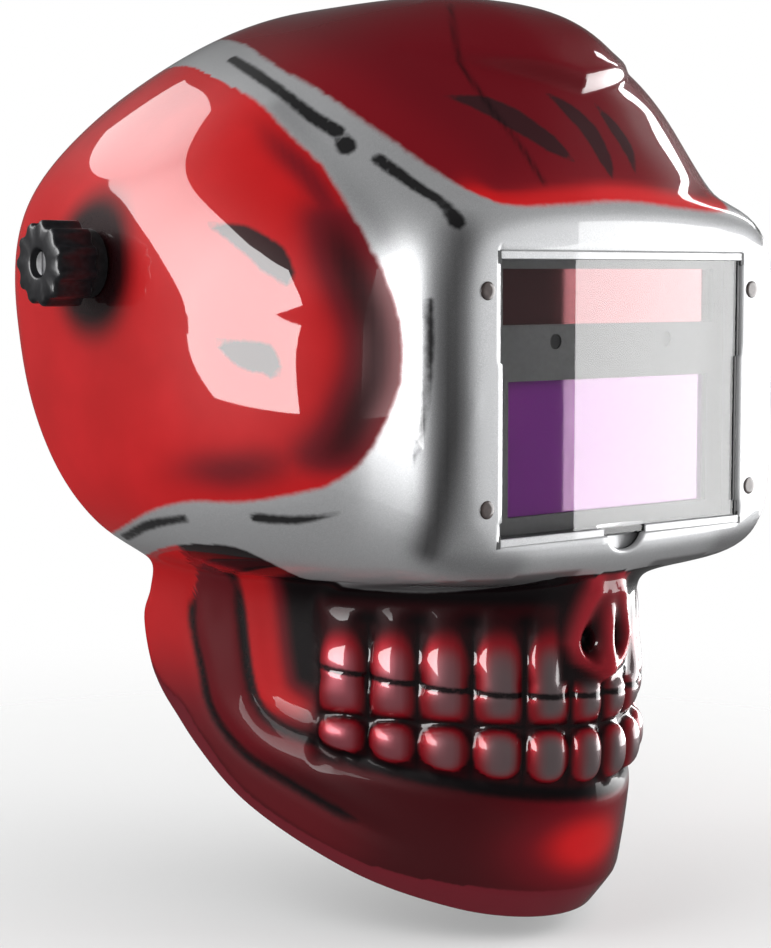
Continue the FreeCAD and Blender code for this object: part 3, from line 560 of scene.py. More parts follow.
def dull_patches():
    """Where the lacquer is thin and hardly glossy: valley edge, jaw hollow, chin ledge, gum tops."""
    valley = hump(oval, -9, 18) * ramp(-88, -98, Y) * ramp(-68, -56, Z) * ramp(24, 10, Z)
    hollow = 0.92 * hump(inner_groove, 0, 17) * ramp(-138, -150, Z) * ramp(24, 40, AX)
    ledge = 0.92 * hump(Z, LOWER_Z - 6, 6) * (Y < -60)
    gum_tops = 0.9 * hump(Z, -112, 7) * ramp(18, 26, AX) * (Y < -40)
    return np.clip(np.maximum.reduce([valley, hollow, ledge, gum_tops]), 0, 1)


shade_oval, shade_top, shade_low = red_shade()
tooth_metal_and_highlight, tooth_black, tooth_zone = tooth_paint()
# Painted highlight: brighter red on the nose's wings, septum, tip and bridge.
nose_ridge_highlight = np.clip(wings + septum + 0.8 * tip + 0.5 * bridge, 0, 1) * nose_zone * (Z < -101)
# Painted shade: black in the nostril hollows.
nose_black = np.clip(nostrils * 1.8, 0, 1) * nose_zone
fading_groove = outer_groove + 12 * ramp(0.80, 1.0, outer_place)
FAR_OFF = 30
FIELDS = {
    "oval": oval,
    "top_edge": top_edge,
    "cheek_edge": cheek_edge,
    "ink": ink_strokes(),
    "claws": top_claws(),
    "shadow": soft_shadows(),
    "shade_oval": shade_oval,
    "shade_top": shade_top,
    "shade_low": shade_low,
    "tooth_metal_and_highlight": tooth_metal_and_highlight,
    "tooth_black": np.clip(np.maximum.reduce([tooth_black, nose_black, crown_crease()]), 0, 1),
    "tooth_zone": tooth_zone,
    "nose_ridge_highlight": nose_ridge_highlight,
    "front_share": ramp(62, 22, AX),
    "flange": np.where((Z < -120) & (Y < 30), flange, FAR_OFF),
    "groove": np.where(Z < -100, np.minimum(inner_groove, fading_groove), FAR_OFF),
    "gum": np.where((AX < 66.5) & (Y < -40), np.abs(Z - GUM_Z) + 6 * ramp(0.2, 0.9, nose_zone), FAR_OFF),
    "tooth_grey_highlight": ramp(0.85, 0.05, across) * ramp(-1.0, -0.45, across),
    "nose_zone": nose_zone * ramp(-100, -104, Z),
    "dull": dull_patches(),
}


# ---------------------------------------------------------------- mesh helpers
def new_object(name, data):
    thing = bpy.data.objects.new(name, data)
    bpy.context.scene.collection.objects.link(thing)
    return thing


def make_object(name, vertices, faces, smooth=True):
    mesh = bpy.data.meshes.new(name)
    mesh.from_pydata([tuple(v) for v in np.asarray(vertices) * MM], [], [tuple(f) for f in faces])
    mesh.validate()
    mesh.update()
    if smooth:
        mesh.polygons.foreach_set("use_smooth", [True] * len(mesh.polygons))
    return new_object(name, mesh)


def add_field(mesh, name, values):
    attribute = mesh.attributes.new(name, "FLOAT", "POINT")
    attribute.data.foreach_set("value", np.asarray(values, np.float32).ravel())


def boundary_loops(keep):
    """Ordered loops of grid corners round the kept cells, as (row, column) lists."""
    nxt = {}
    rows, columns = keep.shape
    padded_keep = np.zeros((rows + 2, columns + 2), bool)
    padded_keep[1:-1, 1:-1] = keep
    for i, j in zip(*np.nonzero(keep)):
        if not padded_keep[i, j + 1]:
            nxt[(i, j)] = (i, j + 1)
        if not padded_keep[i + 1, j + 2]:
            nxt[(i, j + 1)] = (i + 1, j + 1)
        if not padded_keep[i + 2, j + 1]:
            nxt[(i + 1, j + 1)] = (i + 1, j)
        if not padded_keep[i + 1, j]:
            nxt[(i + 1, j)] = (i, j)
    loops = []
    while nxt:
        start = next(iter(nxt))
        loop, at = [], start
        while at in nxt:
            loop.append(at)
            at = nxt.pop(at)
        loops.append(loop)
    return loops


# How far out and how deep the rings of a rounded edge lie, from the outer face to the inner.
EDGE_RINGS = ((0.55, 0.25), (0.85, 0.75), (0.85, 2.05), (0.55, 2.55))


def build_shell():
    """One closed skin: outer and inner face joined by rounded edges round the rim and the window."""
    base_middle = 0.25 * (PLAIN[:-1, :-1] + PLAIN[1:, :-1] + PLAIN[:-1, 1:] + PLAIN[1:, 1:])
    mx, my, mz = np.moveaxis(base_middle, -1, 0)
    keep = ~((np.abs(mx) < WINDOW_X) & (mz > WINDOW_LOW_Z) & (mz < WINDOW_TOP_Z) & (my < HOUSING_FRONT_Y))
    outer_id = np.arange(ROWS * COLUMNS).reshape(ROWS, COLUMNS)
    inner_id = outer_id + ROWS * COLUMNS
    vertices = [OUTER.reshape(-1, 3), INNER.reshape(-1, 3)]
    i, j = np.nonzero(keep)

    def cells(ids):
        return np.stack([ids[i, j], ids[i, j + 1], ids[i + 1, j + 1], ids[i + 1, j]], 1)

    faces = cells(outer_id).tolist() + cells(inner_id)[:, ::-1].tolist()
    fields = {name: [value.ravel(), value.ravel()] for name, value in FIELDS.items()}
    inside = [np.zeros(ROWS * COLUMNS), np.ones(ROWS * COLUMNS)]
    count = 2 * ROWS * COLUMNS
    for loop in boundary_loops(keep):
        at = tuple(np.array(loop).T)
        p, n = OUTER[at], NORMALS[at]
        tangent = np.roll(p, -1, 0) - np.roll(p, 1, 0)
        tangent /= np.linalg.norm(tangent, axis=1, keepdims=True) + 1e-9
        outward = np.cross(tangent, n)
        rings = [outer_id[at]]
        for out, depth in EDGE_RINGS:
            vertices.append(p + outward * out - n * depth)
            rings.append(np.arange(count, count + len(p)))
            for name, value in FIELDS.items():
                fields[name].append(value[at])
            inside.append(np.full(len(p), 0.0 if depth < 1 else 1.0))
            count += len(p)
        rings.append(inner_id[at])
        for first, second in zip(rings, rings[1:]):
            for k in range(len(p)):
                m = (k + 1) % len(p)
                faces.append([first[m], first[k], second[k], second[m]])
    everything = np.vstack(vertices)
    used = np.zeros(len(everything), bool)
    used[np.array(faces).ravel()] = True
    renumber = np.cumsum(used) - 1
    thing = make_object("painted_shell", everything[used], renumber[np.array(faces)].tolist())
    for name, parts in fields.items():
        add_field(thing.data, name, np.concatenate(parts)[used])
    add_field(thing.data, "inside", np.concatenate(inside)[used])
    return thing


shell = build_shell()


# ---------------------------------------------------------------- node helpers
class Tree:
    """Short way to build a node tree."""

    def __init__(self, tree):
        self.tree = tree

    def new(self, kind, **settings):
        node = self.tree.nodes.new("ShaderNode" + kind)
        for name, value in settings.items():
            setattr(node, name, value)
        return node

    def link(self, source, target):
        self.tree.links.new(source, target)

    def put(self, target, value):
        if isinstance(value, bpy.types.NodeSocket):
            self.link(value, target)
        elif isinstance(value, tuple) and len(value) == 3 and target.type == "RGBA":
            target.default_value = (*value, 1)
        else:
            target.default_value = value

    def math(self, kind, *values):
        node = self.new("Math", operation=kind)
        for k, value in enumerate(values):
            self.put(node.inputs[k], value)
        return node.outputs[0]

    def times(self, first, second):
        return self.math("MULTIPLY", first, second)

    def plus(self, first, second):
        return self.math("ADD", first, second)

    def minus(self, first, second):
        return self.math("SUBTRACT", first, second)

    def larger(self, first, second):
        return self.math("MAXIMUM", first, second)

    def place(self, kind="Object"):
        return self.new("TexCoord").outputs[kind]

    def field(self, name):
        return self.new("Attribute", attribute_name=name).outputs["Fac"]

    def step(self, value, low, high):
        """Smooth 0 to 1 as value goes from low to high."""
        node = self.new("MapRange", interpolation_type="SMOOTHSTEP")
        flip = low > high
        self.put(node.inputs["Value"], value)
        node.inputs["From Min"].default_value = min(low, high)
        node.inputs["From Max"].default_value = max(low, high)
        node.inputs["To Min"].default_value = 1.0 if flip else 0.0
        node.inputs["To Max"].default_value = 0.0 if flip else 1.0
        return node.outputs[0]

    def mix(self, share, first, second):
        node = self.new("Mix", data_type="RGBA")
        self.put(node.inputs[0], share)
        self.put(node.inputs[6], first)
        self.put(node.inputs[7], second)
        return node.outputs[2]

    def grey_stops(self, value, stops, peak=1.0):
        """Grey level by (share, level) stops, as a part of the peak. The first two are the ends."""
        node = self.new("ValToRGB")
        elements = node.color_ramp.elements
        for k, (share, level) in enumerate(stops):
            element = elements[k] if k < 2 else elements.new(share)
            element.position = share
            element.color = (level / peak, level / peak, level / peak, 1)
        self.link(value, node.inputs[0])
        return node.outputs[0]

    def noise(self, scale, detail=2.0):
        node = self.new("TexNoise")
        node.inputs["Scale"].default_value = scale
        node.inputs["Detail"].default_value = detail
        node.inputs["Roughness"].default_value = 0.5
        self.link(self.place(), node.inputs["Vector"])
        return node.outputs[0]


class Nodes(Tree):
    """Material with one principled shader."""

    def __init__(self, name):
        self.material = bpy.data.materials.new(name)
        self.material.use_nodes = True
        super().__init__(self.material.node_tree)
        self.tree.nodes.clear()
        self.out = self.new("OutputMaterial")
        self.shader = self.new("BsdfPrincipled")
        self.link(self.shader.outputs[0], self.out.inputs[0])

    def bump(self, height, strength, distance):
        node = self.new("Bump")
        node.inputs["Strength"].default_value = strength
        node.inputs["Distance"].default_value = distance
        self.link(height, node.inputs["Height"])
        self.link(node.outputs[0], self.shader.inputs["Normal"])

    def set(self, **values):
        for name, value in values.items():
            self.put(self.shader.inputs[name.replace("_", " ")], value)


SILVER_DARK, SILVER_LIGHT = (0.43, 0.435, 0.445), (0.59, 0.595, 0.605)


def shell_material():
    n = Nodes("shell_paint")
    flake = n.noise(5200, 1.0)
    cloudy = n.noise(26, 3.0)
    edge_noise = n.times(n.minus(n.noise(420, 2.0), 0.5), 0.9)

    def soft(name, low, high):
        return n.step(n.plus(n.field(name), edge_noise), low, high)

    silver = n.mix(n.step(flake, 0.35, 0.75), SILVER_DARK, SILVER_LIGHT)
    deep, black = (0.165, 0.003, 0.009), (0.004, 0.002, 0.003)
    red = n.mix(n.step(cloudy, 0.3, 0.8), (0.56, 0.004, 0.006), (0.68, 0.008, 0.012))

    def shaded(field):
        low = n.mix(n.step(field, 0.0, 0.6), red, deep)
        return n.mix(n.step(field, 0.5, 1.0), low, black)

    oval_paint = shaded(n.field("shade_oval"))
    top_paint = shaded(n.field("shade_top"))
    low_paint = shaded(n.field("shade_low"))
    is_oval = soft("oval", 1.7, -0.8)
    is_top = soft("top_edge", -1.8, 1.2)
    is_low = soft("cheek_edge", 1.0, -1.0)
    # Painted shade and highlight on the teeth: dark where each bulge falls away and red on it, with metallic
    # grey on its crest as a painted highlight, pink at the sides and grey at the front.
    bulge = n.field("tooth_metal_and_highlight")
    crown_highlight_tone = n.mix(n.field("front_share"), (0.34, 0.085, 0.105), (0.17, 0.13, 0.135))
    tooth_tone = n.mix(n.step(bulge, 0.15, 0.55), (0.035, 0.001, 0.003), (0.30, 0.006, 0.014))
    grey_highlight_share = n.times(n.step(bulge, 0.45, 0.95), n.field("tooth_grey_highlight"))
    tooth_tone = n.mix(grey_highlight_share, tooth_tone, crown_highlight_tone)
    tooth_share_here = n.times(n.field("tooth_zone"), n.minus(1.0, n.field("nose_zone")))
    low_paint = n.mix(tooth_share_here, low_paint, tooth_tone)
    # Painted highlight on the nose's ridges.
    low_paint = n.mix(n.times(n.field("nose_ridge_highlight"), 0.75), low_paint, (0.50, 0.02, 0.035))
    low_paint = n.mix(soft("flange", 0.5, -0.5), low_paint, (0.175, 0.010, 0.020))
    line_ink = n.larger(soft("groove", 3.2, 0.4), soft("gum", 1.5, 0.5))
    low_paint = n.mix(n.times(line_ink, 0.96), low_paint, black)
    paint = n.mix(is_top, silver, top_paint)
    paint = n.mix(is_oval, paint, oval_paint)
    paint = n.mix(is_low, paint, low_paint)
    # Painted shade: black airbrush in the valley, round the knob, along the band and at the housing's lower
    # corner.
    paint = n.mix(n.field("shadow"), paint, black)
    paint = n.mix(n.times(soft("claws", 0.8, -0.8), 0.8), paint, (0.012, 0.012, 0.014))
    paint = n.mix(n.times(soft("ink", 1.1, -0.7), 0.96), paint, (0.008, 0.007, 0.008))
    # Painted shade in black: the teeth's parting and gaps, under the teeth, above the roots and in the
    # nostrils, with the crown's dark line.
    paint = n.mix(n.field("tooth_black"), paint, black)
    inside = n.step(n.field("inside"), 0.3, 0.7)
    paint = n.mix(inside, paint, (0.020, 0.020, 0.022))
    reds = n.larger(n.larger(is_top, is_oval), is_low)
    metal = n.minus(0.45, n.times(reds, 0.45))
    metal = n.plus(metal, n.times(n.field("tooth_metal_and_highlight"), 0.5))
    metal = n.times(metal, n.minus(1.0, inside))
    rough = n.plus(0.40, n.times(n.minus(n.noise(900, 2.0), 0.5), 0.06))
    rough = n.plus(rough, n.times(inside, 0.2))
    coat = n.minus(1.0, n.larger(n.field("dull"), n.times(inside, 0.7)))
    n.set(Base_Color=paint, Metallic=metal, Roughness=rough, Specular_IOR_Level=0.08)
    n.set(Coat_Weight=coat, Coat_Roughness=0.02, Coat_IOR=1.5)
    n.bump(n.noise(1300, 3.0), 0.035, 0.0004)
    return n.material


shell.data.materials.append(shell_material())
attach(shell, "helmet")
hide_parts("shell")


# ---------------------------------------------------------------- other finishes
def finish(name, dark, light, rough, metal=0.0, scale=600, grain=0.05, coat=0.0):
    """Moulded or metal finish: two close tones in fine noise, uneven gloss and a light grain."""
    n = Nodes(name)
    n.set(Base_Color=n.mix(n.step(n.noise(scale, 3.0), 0.3, 0.75), dark, light), Metallic=metal)
    n.set(Roughness=n.plus(rough, n.times(n.minus(n.noise(80, 3.0), 0.5), 0.12)))
    if coat:
        n.set(Coat_Weight=coat, Coat_Roughness=0.08)
    n.bump(n.noise(scale * 3, 3.0), grain, 0.0003)
    return n.material


def clear_finish(name):
    """Clear polycarbonate that lets lamps through to what is behind it."""
    n = Nodes(name)
    n.set(Base_Color=n.mix(n.step(n.noise(30), 0.3, 0.7), (0.985, 0.99, 0.99), (1.0, 1.0, 1.0)))
    n.set(Transmission_Weight=1.0, Roughness=0.0, IOR=1.52)
    pick = n.new("MixShader")
    n.link(n.new("LightPath").outputs["Is Shadow Ray"], pick.inputs[0])
    n.link(n.shader.outputs[0], pick.inputs[1])
    n.link(n.new("BsdfTransparent").outputs[0], pick.inputs[2])
    n.link(pick.outputs[0], n.out.inputs[0])
    return n.material


def solar_finish():
    """Brown-black cell with fine upright grid lines under pink-coated glass."""
    n = Nodes("solar_glass")
    lines = n.new("TexWave", wave_type="BANDS", bands_direction="X", wave_profile="SIN")
    lines.inputs["Scale"].default_value = 160
    n.link(n.place(), lines.inputs["Vector"])
    tone = n.mix(n.step(lines.outputs["Fac"], 0.80, 0.98), (0.022, 0.009, 0.010), (0.034, 0.014, 0.015))
    n.set(Base_Color=tone, Roughness=0.03, IOR=1.95, Specular_Tint=(1.0, 0.27, 0.31, 1.0))
    return n.material


def lcd_finish():
    """Violet interference coating on the darkening glass."""
    n = Nodes("violet_glass")
    tone = n.mix(n.step(n.noise(9, 1.0), 0.3, 0.7), (0.190, 0.022, 0.250), (0.245, 0.032, 0.280))
    n.set(Base_Color=tone, Roughness=0.02, IOR=1.85, Specular_Tint=(1.0, 0.62, 0.93, 1.0))
    return n.material


FINISHES = {
    "clear": clear_finish("clear_plate_finish"),
    "solar": solar_finish(),
    "lcd": lcd_finish(),
    "case": finish("case_plastic", (0.016, 0.016, 0.017), (0.024, 0.024, 0.026), 0.50, grain=0.06),
    "black": finish("black_plastic_finish", (0.010, 0.010, 0.011), (0.020, 0.020, 0.022), 0.38, grain=0.10),
    "knob": finish("knob_plastic_finish", (0.008, 0.008, 0.010), (0.018, 0.018, 0.021), 0.30, grain=0.05),
    "strap": finish("strap_plastic_finish", (0.012, 0.012, 0.013), (0.024, 0.024, 0.026), 0.48, grain=0.14),
    "pin": finish("pin_finish", (0.030, 0.018, 0.016), (0.062, 0.040, 0.036), 0.45, 0.3, grain=0.02,
                  coat=1.0),
    "steel": finish("bolt_finish", (0.42, 0.42, 0.43), (0.55, 0.55, 0.56), 0.30, 1.0, 300, 0.05),
    "cell": finish("cell_finish", (0.52, 0.52, 0.53), (0.66, 0.66, 0.66), 0.25, 1.0, 300, 0.03),
    "board": finish("board_finish", (0.010, 0.060, 0.026), (0.016, 0.100, 0.040), 0.40, coat=0.5, scale=200),
    "sensor": finish("sensor_finish", (0.002, 0.002, 0.003), (0.006, 0.004, 0.006), 0.85, grain=0.0),
    "rubber": finish("rubber_finish", (0.012, 0.012, 0.012), (0.022, 0.022, 0.022), 0.75, grain=0.25),
}
FINISHED_NODES = {
    "clear": ["outer_cover_plate", "inner_cover_plate"],
    "solar": ["solar_cell"],
    "lcd": ["lcd_filter"],
    "case": ["filter_case"],
    "black": ["filter_back", "filter_tray", "left_latch", "right_latch", "left_tilt_disc", "right_tilt_disc",
              "left_pivot_bush", "right_pivot_bush", "ratchet_housing", "ratchet_pinion"],
    "knob": ["shade_dial", "sensitivity_dial", "delay_dial", "test_button", "ratchet_knob"],
    "board": ["circuit_board"],
    "cell": ["batteries"],
    "sensor": ["arc_sensors"],
    "strap": ["left_pivot_arm", "right_pivot_arm", "front_headband", "rear_band", "left_crown_strap",
              "right_crown_strap", "crown_strap_pegs"],
    "rubber": ["left_friction_washer", "right_friction_washer"],
    "steel": ["left_pivot_bolt", "right_pivot_bolt"],
}
for finish_name, node_names in FINISHED_NODES.items():
    for node_name in node_names:
        mesh = nodes[node_name].data
        if not mesh.materials:
            mesh.materials.append(FINISHES[finish_name])
        for slot in nodes[node_name].material_slots:
            slot.material = FINISHES[finish_name]


# ---------------------------------------------------------------- window pieces
def ridden(thing, body, finish_material):
    thing.data.materials.append(finish_material)
    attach(thing, body)


def silver_finish():
    n = Nodes("frame_silver")
    n.set(Base_Color=n.mix(n.step(n.noise(5200, 1.0), 0.35, 0.75), SILVER_DARK, SILVER_LIGHT))
    n.set(Metallic=0.45, Roughness=0.36, Coat_Weight=1.0, Coat_Roughness=0.03)
    n.bump(n.noise(1300, 3.0), 0.03, 0.0004)
    return n.material


def window_piece(name, front, back, width, material, boxes):
    """Boxes with rounded edges, given as (x0, x1, z0, z1), that share one depth and ride the helmet."""
    bm = bmesh.new()
    for x0, x1, z0, z1 in boxes:
        made = bmesh.ops.create_cube(bm, size=1.0)["verts"]
        bmesh.ops.scale(bm, vec=(x1 - x0, back - front, z1 - z0), verts=made)
        bmesh.ops.translate(bm, vec=((x0 + x1) / 2, (front + back) / 2, (z0 + z1) / 2), verts=made)
    bmesh.ops.bevel(bm, geom=bm.edges[:], offset=width, segments=2, affect="EDGES", profile=0.5)
    bm.normal_update()
    vertices = [tuple(v.co) for v in bm.verts]
    faces = [[v.index for v in f.verts] for f in bm.faces]
    bm.free()
    ridden(make_object(name, vertices, faces, smooth=False), "helmet", material)


silver = silver_finish()
SEAT_Y, FRAME_Y, FRAME_BACK_Y = -131.2, -130.1, -126.0
LIP_Y, GAP_Y, LIP_BACK_Y = -133.15, -132.55, -132.25
window_piece("window_seat", SEAT_Y, FRAME_BACK_Y, 0.1, FINISHES["black"], [
    (-55.8, -54.0, -87.8, 3.8), (54.0, 55.8, -87.8, 3.8),
    (-54.0, 54.0, 1.0, 3.8), (-54.0, 54.0, -87.8, -85.0)])
window_piece("window_flange", FRAME_Y, FRAME_BACK_Y, 0.1, FINISHES["black"], [
    (-64, -55.8, -90.3, 6.3), (55.8, 64, -90.3, 6.3), (-55.8, 55.8, 3.8, 6.3),
    (-55.8, -10.0, -90.3, -87.8), (10.0, 55.8, -90.3, -87.8)])
window_piece("window_lips", LIP_Y, LIP_BACK_Y, 0.25, silver, [
    (-55.3, 55.3, 1.0, 3.6), (-55.3, -9.6, -87.6, -85.0), (9.6, 55.3, -87.6, -85.0)])
# Black strips that stand in for the shade in the gaps beside the cover plate.
window_piece("plate_edge_shadow_strips", GAP_Y, LIP_BACK_Y, 0.1, FINISHES["black"], [
    (-55.9, -54.8, -31.0, 2.8), (-55.2, -54.0, -80.0, -31.0), (-55.9, -54.8, -86.8, -80.0),
    (54.0, 55.9, -31.0, 2.8), (53.1, 55.2, -80.0, -31.0), (54.0, 55.9, -86.8, -80.0)])
window_piece("window_lugs", -133.0, -130.6, 0.2, FINISHES["black"], [
    (side * 55.9 - 0.9, side * 55.9 + 0.9, z0, z0 + 4.2) for side in (-1, 1) for z0 in (-0.6, -88.0)])


def thumb_dish():
    """Half-round dished floor of the thumb notch under the cover plate."""
    radius, steps = 10.6, 24
    vertices, faces = [], []
    for depth, share in ((-130.2, 1.0), (-129.7, 0.75), (-129.2, 0.4), (-129.0, 0.0)):
        for k in range(steps + 1):
            a = math.pi * k / steps
            vertices.append((radius * share * math.cos(a), depth, NOTCH_Z - radius * share * math.sin(a)))
    row = steps + 1
    for ring in range(3):
        for k in range(steps):
            a = ring * row + k
            faces.append((a, a + row, a + row + 1, a + 1))
    return make_object("thumb_notch", vertices, faces)


ridden(thumb_dish(), "helmet", silver)


def turned_piece(rings, count):
    """Closed rings of points joined in order, each ring a function of the angle."""
    vertices = [ring(2 * math.pi * k / count) for ring in rings for k in range(count)]
    faces = []
    for i in range(len(rings) - 1):
        for k in range(count):
            m = (k + 1) % count
            faces.append((i * count + k, i * count + m, (i + 1) * count + m, (i + 1) * count + k))
    return vertices, faces


PIN_PROFILE = [(2.85, -131.0), (2.85, -133.15), (2.75, -133.28), (2.6, -133.33), (1.5, -133.34),
               (0.0, -133.34)]


def pin_heads():
    """Four bevelled heads with a shallow dish, flush with the window frame."""
    vertices, faces = [], []
    for x in (-60.85, 60.85):
        for z in (-78.05 + 2.65, -6.0 - 2.65):
            rings = [lambda a, r=r, y=y: (x + r * math.cos(a), y, z + r * math.sin(a))
                     for r, y in PIN_PROFILE]
            v, f = turned_piece(rings, 32)
            faces += [tuple(len(vertices) + k for k in face) for face in f]
            vertices += v
    return make_object("frame_pin_heads", vertices, faces)


# ---------------------------------------------------------------- side knobs
LOBES = 11
KNOB_RADIUS = 14.2


def knob_radius(angle):
    """Scalloped outline: circles cut round the rim, softened where they meet it."""
    away = (angle * LOBES / (2 * math.pi)) % 1.0
    away = (away - 0.5) * 2 * math.pi / LOBES
    centre, cut = 16.1, 3.4
    inside = cut ** 2 - (centre * math.sin(away)) ** 2
    edge = centre * math.cos(away) - math.sqrt(inside) if inside > 0 else 20.0
    return float(smooth_min(edge, KNOB_RADIUS, 0.7))


KNOB_FACE_X = 138.0


def side_knob(side):
    """Knob with a scalloped skirt, a stepped eye and a bore, outlined from the shell side outwards."""
    def at(depth, radius, a):
        return side * (KNOB_FACE_X - depth), radius * math.cos(a), radius * math.sin(a)

    def scalloped(depth, less):
        return lambda a: at(depth, knob_radius(a) - less, a)

    def plain(depth, radius):
        return lambda a: at(depth, radius, a)

    rings = [plain(15.0, 7.0), scalloped(15.0, 0.9), scalloped(14.6, 0.3), scalloped(14.0, 0.0),
             scalloped(1.6, 0.0), scalloped(0.9, 0.2), scalloped(0.3, 0.7), scalloped(0.0, 1.6),
             plain(0.0, 5.6), plain(0.15, 5.0), plain(0.6, 4.7), plain(4.0, 4.6), plain(4.0, 3.3),
             plain(15.0, 3.3), plain(15.0, 7.0)]
    vertices, faces = turned_piece(rings, 132)
    if side < 0:
        faces = [tuple(reversed(f)) for f in faces]
    word = "left" if side > 0 else "right"
    knob, node = make_object(word + "_knob_detailed", vertices, faces), word + "_side_knob"
    ridden(knob, node, FINISHES["knob"])
    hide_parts(node)


side_knob(1)
side_knob(-1)
heads = pin_heads()
ridden(heads, "helmet", FINISHES["pin"])
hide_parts("frame_pins")


# ---------------------------------------------------------------- soft pads
def fabric_finish():
    n = Nodes("pad_fabric")
    weave = n.step(n.noise(1500, 3.0), 0.3, 0.7)
    n.set(Base_Color=n.mix(weave, (0.014, 0.014, 0.016), (0.040, 0.040, 0.044)))
    n.set(Roughness=0.9, Sheen_Weight=0.3)
    n.bump(n.noise(2600, 2.0), 0.5, 0.0005)
    return n.material


def cloth_pad(name, node, body, cap_mm):
    """Pad swollen from the CAD solid by cloth under light pressure, moving at most cap_mm."""
    source = nodes[node]
    mesh = source.data.copy()
    mesh.transform(source.matrix_world)
    pad = new_object(name, mesh)
    pad.data.materials.clear()
    remesh = pad.modifiers.new("remesh", "REMESH")
    remesh.mode, remesh.voxel_size = "VOXEL", 0.0022
    shrink = pad.modifiers.new("shrink", "DISPLACE")
    shrink.strength, shrink.mid_level = -cap_mm * MM, 0.0
    graph = bpy.context.evaluated_depsgraph_get()
    pad.data = bpy.data.meshes.new_from_object(pad.evaluated_get(graph))
    pad.modifiers.clear()
    start = np.empty(len(pad.data.vertices) * 3)
    pad.data.vertices.foreach_get("co", start)
    cloth = pad.modifiers.new("cloth", "CLOTH")
    cloth.settings.use_pressure = True
    cloth.settings.uniform_pressure_force = 4
    cloth.settings.effector_weights.gravity = 0
    scene = bpy.context.scene
    for step in range(1, 21):
        scene.frame_set(step)
    graph = bpy.context.evaluated_depsgraph_get()
    swollen = bpy.data.meshes.new_from_object(pad.evaluated_get(graph))
    end = np.empty(len(swollen.vertices) * 3)
    swollen.vertices.foreach_get("co", end)
    move = (end - start).reshape(-1, 3)
    length = np.linalg.norm(move, axis=1, keepdims=True)
    move *= np.minimum(1, cap_mm * MM / np.maximum(length, 1e-9))
    pad.modifiers.clear()
    pad.data = swollen
    pad.data.vertices.foreach_set("co", (start.reshape(-1, 3) + move).ravel())
    pad.data.update()
    scene.frame_set(1)
    pad.data.polygons.foreach_set("use_smooth", [True] * len(pad.data.polygons))
    ridden(pad, body, FABRIC)
    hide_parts(node)


FABRIC = fabric_finish()
cloth_pad("brow_pad", "sweatband", "headgear", 0.9)
cloth_pad("neck_pad", "nape_pad", "rear_unit", 1.2)


# ---------------------------------------------------------------- camera
CAMERA_AT = Vector((-0.50642, -0.6140, -0.00447))
LOOK_AZIMUTH, LOOK_DOWN = math.radians(40.1), math.radians(5.22)
LENS = 81.86


def make_camera():
    data = bpy.data.cameras.new("camera")
    data.lens = LENS
    data.sensor_width = 36
    camera = new_object("camera", data)
    level = math.cos(LOOK_DOWN)
    ahead = Vector((math.sin(LOOK_AZIMUTH) * level, math.cos(LOOK_AZIMUTH) * level, -math.sin(LOOK_DOWN)))
    camera.location = CAMERA_AT
    camera.rotation_euler = ahead.to_track_quat("-Z", "Y").to_euler()
    bpy.context.scene.camera = camera


# ---------------------------------------------------------------- studio
def lamp(name, place, width, height, brightness):
    """Soft light facing the helmet that lights the paint but leaves no shape in its gloss."""
    data = bpy.data.lights.new(name, "AREA")
    data.shape = "RECTANGLE"
    data.size, data.size_y = width, height
    data.energy = math.pi * width * height * brightness
    light = new_object(name, data)
    light.location = place
    light.rotation_euler = (-Vector(place)).to_track_quat("-Z", "Y").to_euler()
    light.visible_camera = False
    light.visible_glossy = False
    light.visible_transmission = False


def glow_panel(name, corners, levels, along=None):
    """Bright panel that only the gloss shows: one level, or (share, level) stops along a direction
    that is given with its ends as (direction, low, high)."""
    panel = make_object(name, [tuple(c / MM for c in corner) for corner in corners],
                        [tuple(range(len(corners)))], smooth=False)
    material = bpy.data.materials.new(name + "_glow")
    material.use_nodes = True
    n = Tree(material.node_tree)
    n.tree.nodes.clear()
    glow = n.new("Emission")
    n.link(glow.outputs[0], n.new("OutputMaterial").inputs[0])
    if along:
        direction, low, high = along
        dot = n.new("VectorMath", operation="DOT_PRODUCT")
        dot.inputs[1].default_value = direction
        n.link(n.place(), dot.inputs[0])
        share = n.new("MapRange")
        share.inputs["From Min"].default_value, share.inputs["From Max"].default_value = low, high
        n.link(dot.outputs["Value"], share.inputs["Value"])
        peak = max(level for _, level in levels)
        n.link(n.grey_stops(share.outputs[0], levels, peak), glow.inputs[0])
        glow.inputs[1].default_value = peak
    else:
        glow.inputs[1].default_value = levels
    panel.data.materials.append(material)
    panel.visible_camera = panel.visible_diffuse = panel.visible_shadow = False


LEFT_NORMAL = Vector((-0.800, 0.520, 0.300)).normalized()
LEFT_ALONG = Vector((0.595, 0.618, 0.514))
LEFT_ACROSS = LEFT_NORMAL.cross(LEFT_ALONG)
LEFT_OUTLINE = [(-1.19, -0.18), (-0.70, -0.40), (-0.35, -0.32), (0.00, -0.275), (1.27, -0.105), (1.85, 0.12),
                (1.57, 0.30), (0.69, 0.055), (0.03, 0.135), (-0.28, 0.215), (-0.49, 0.165)]


FLOOR_Z = -0.2265


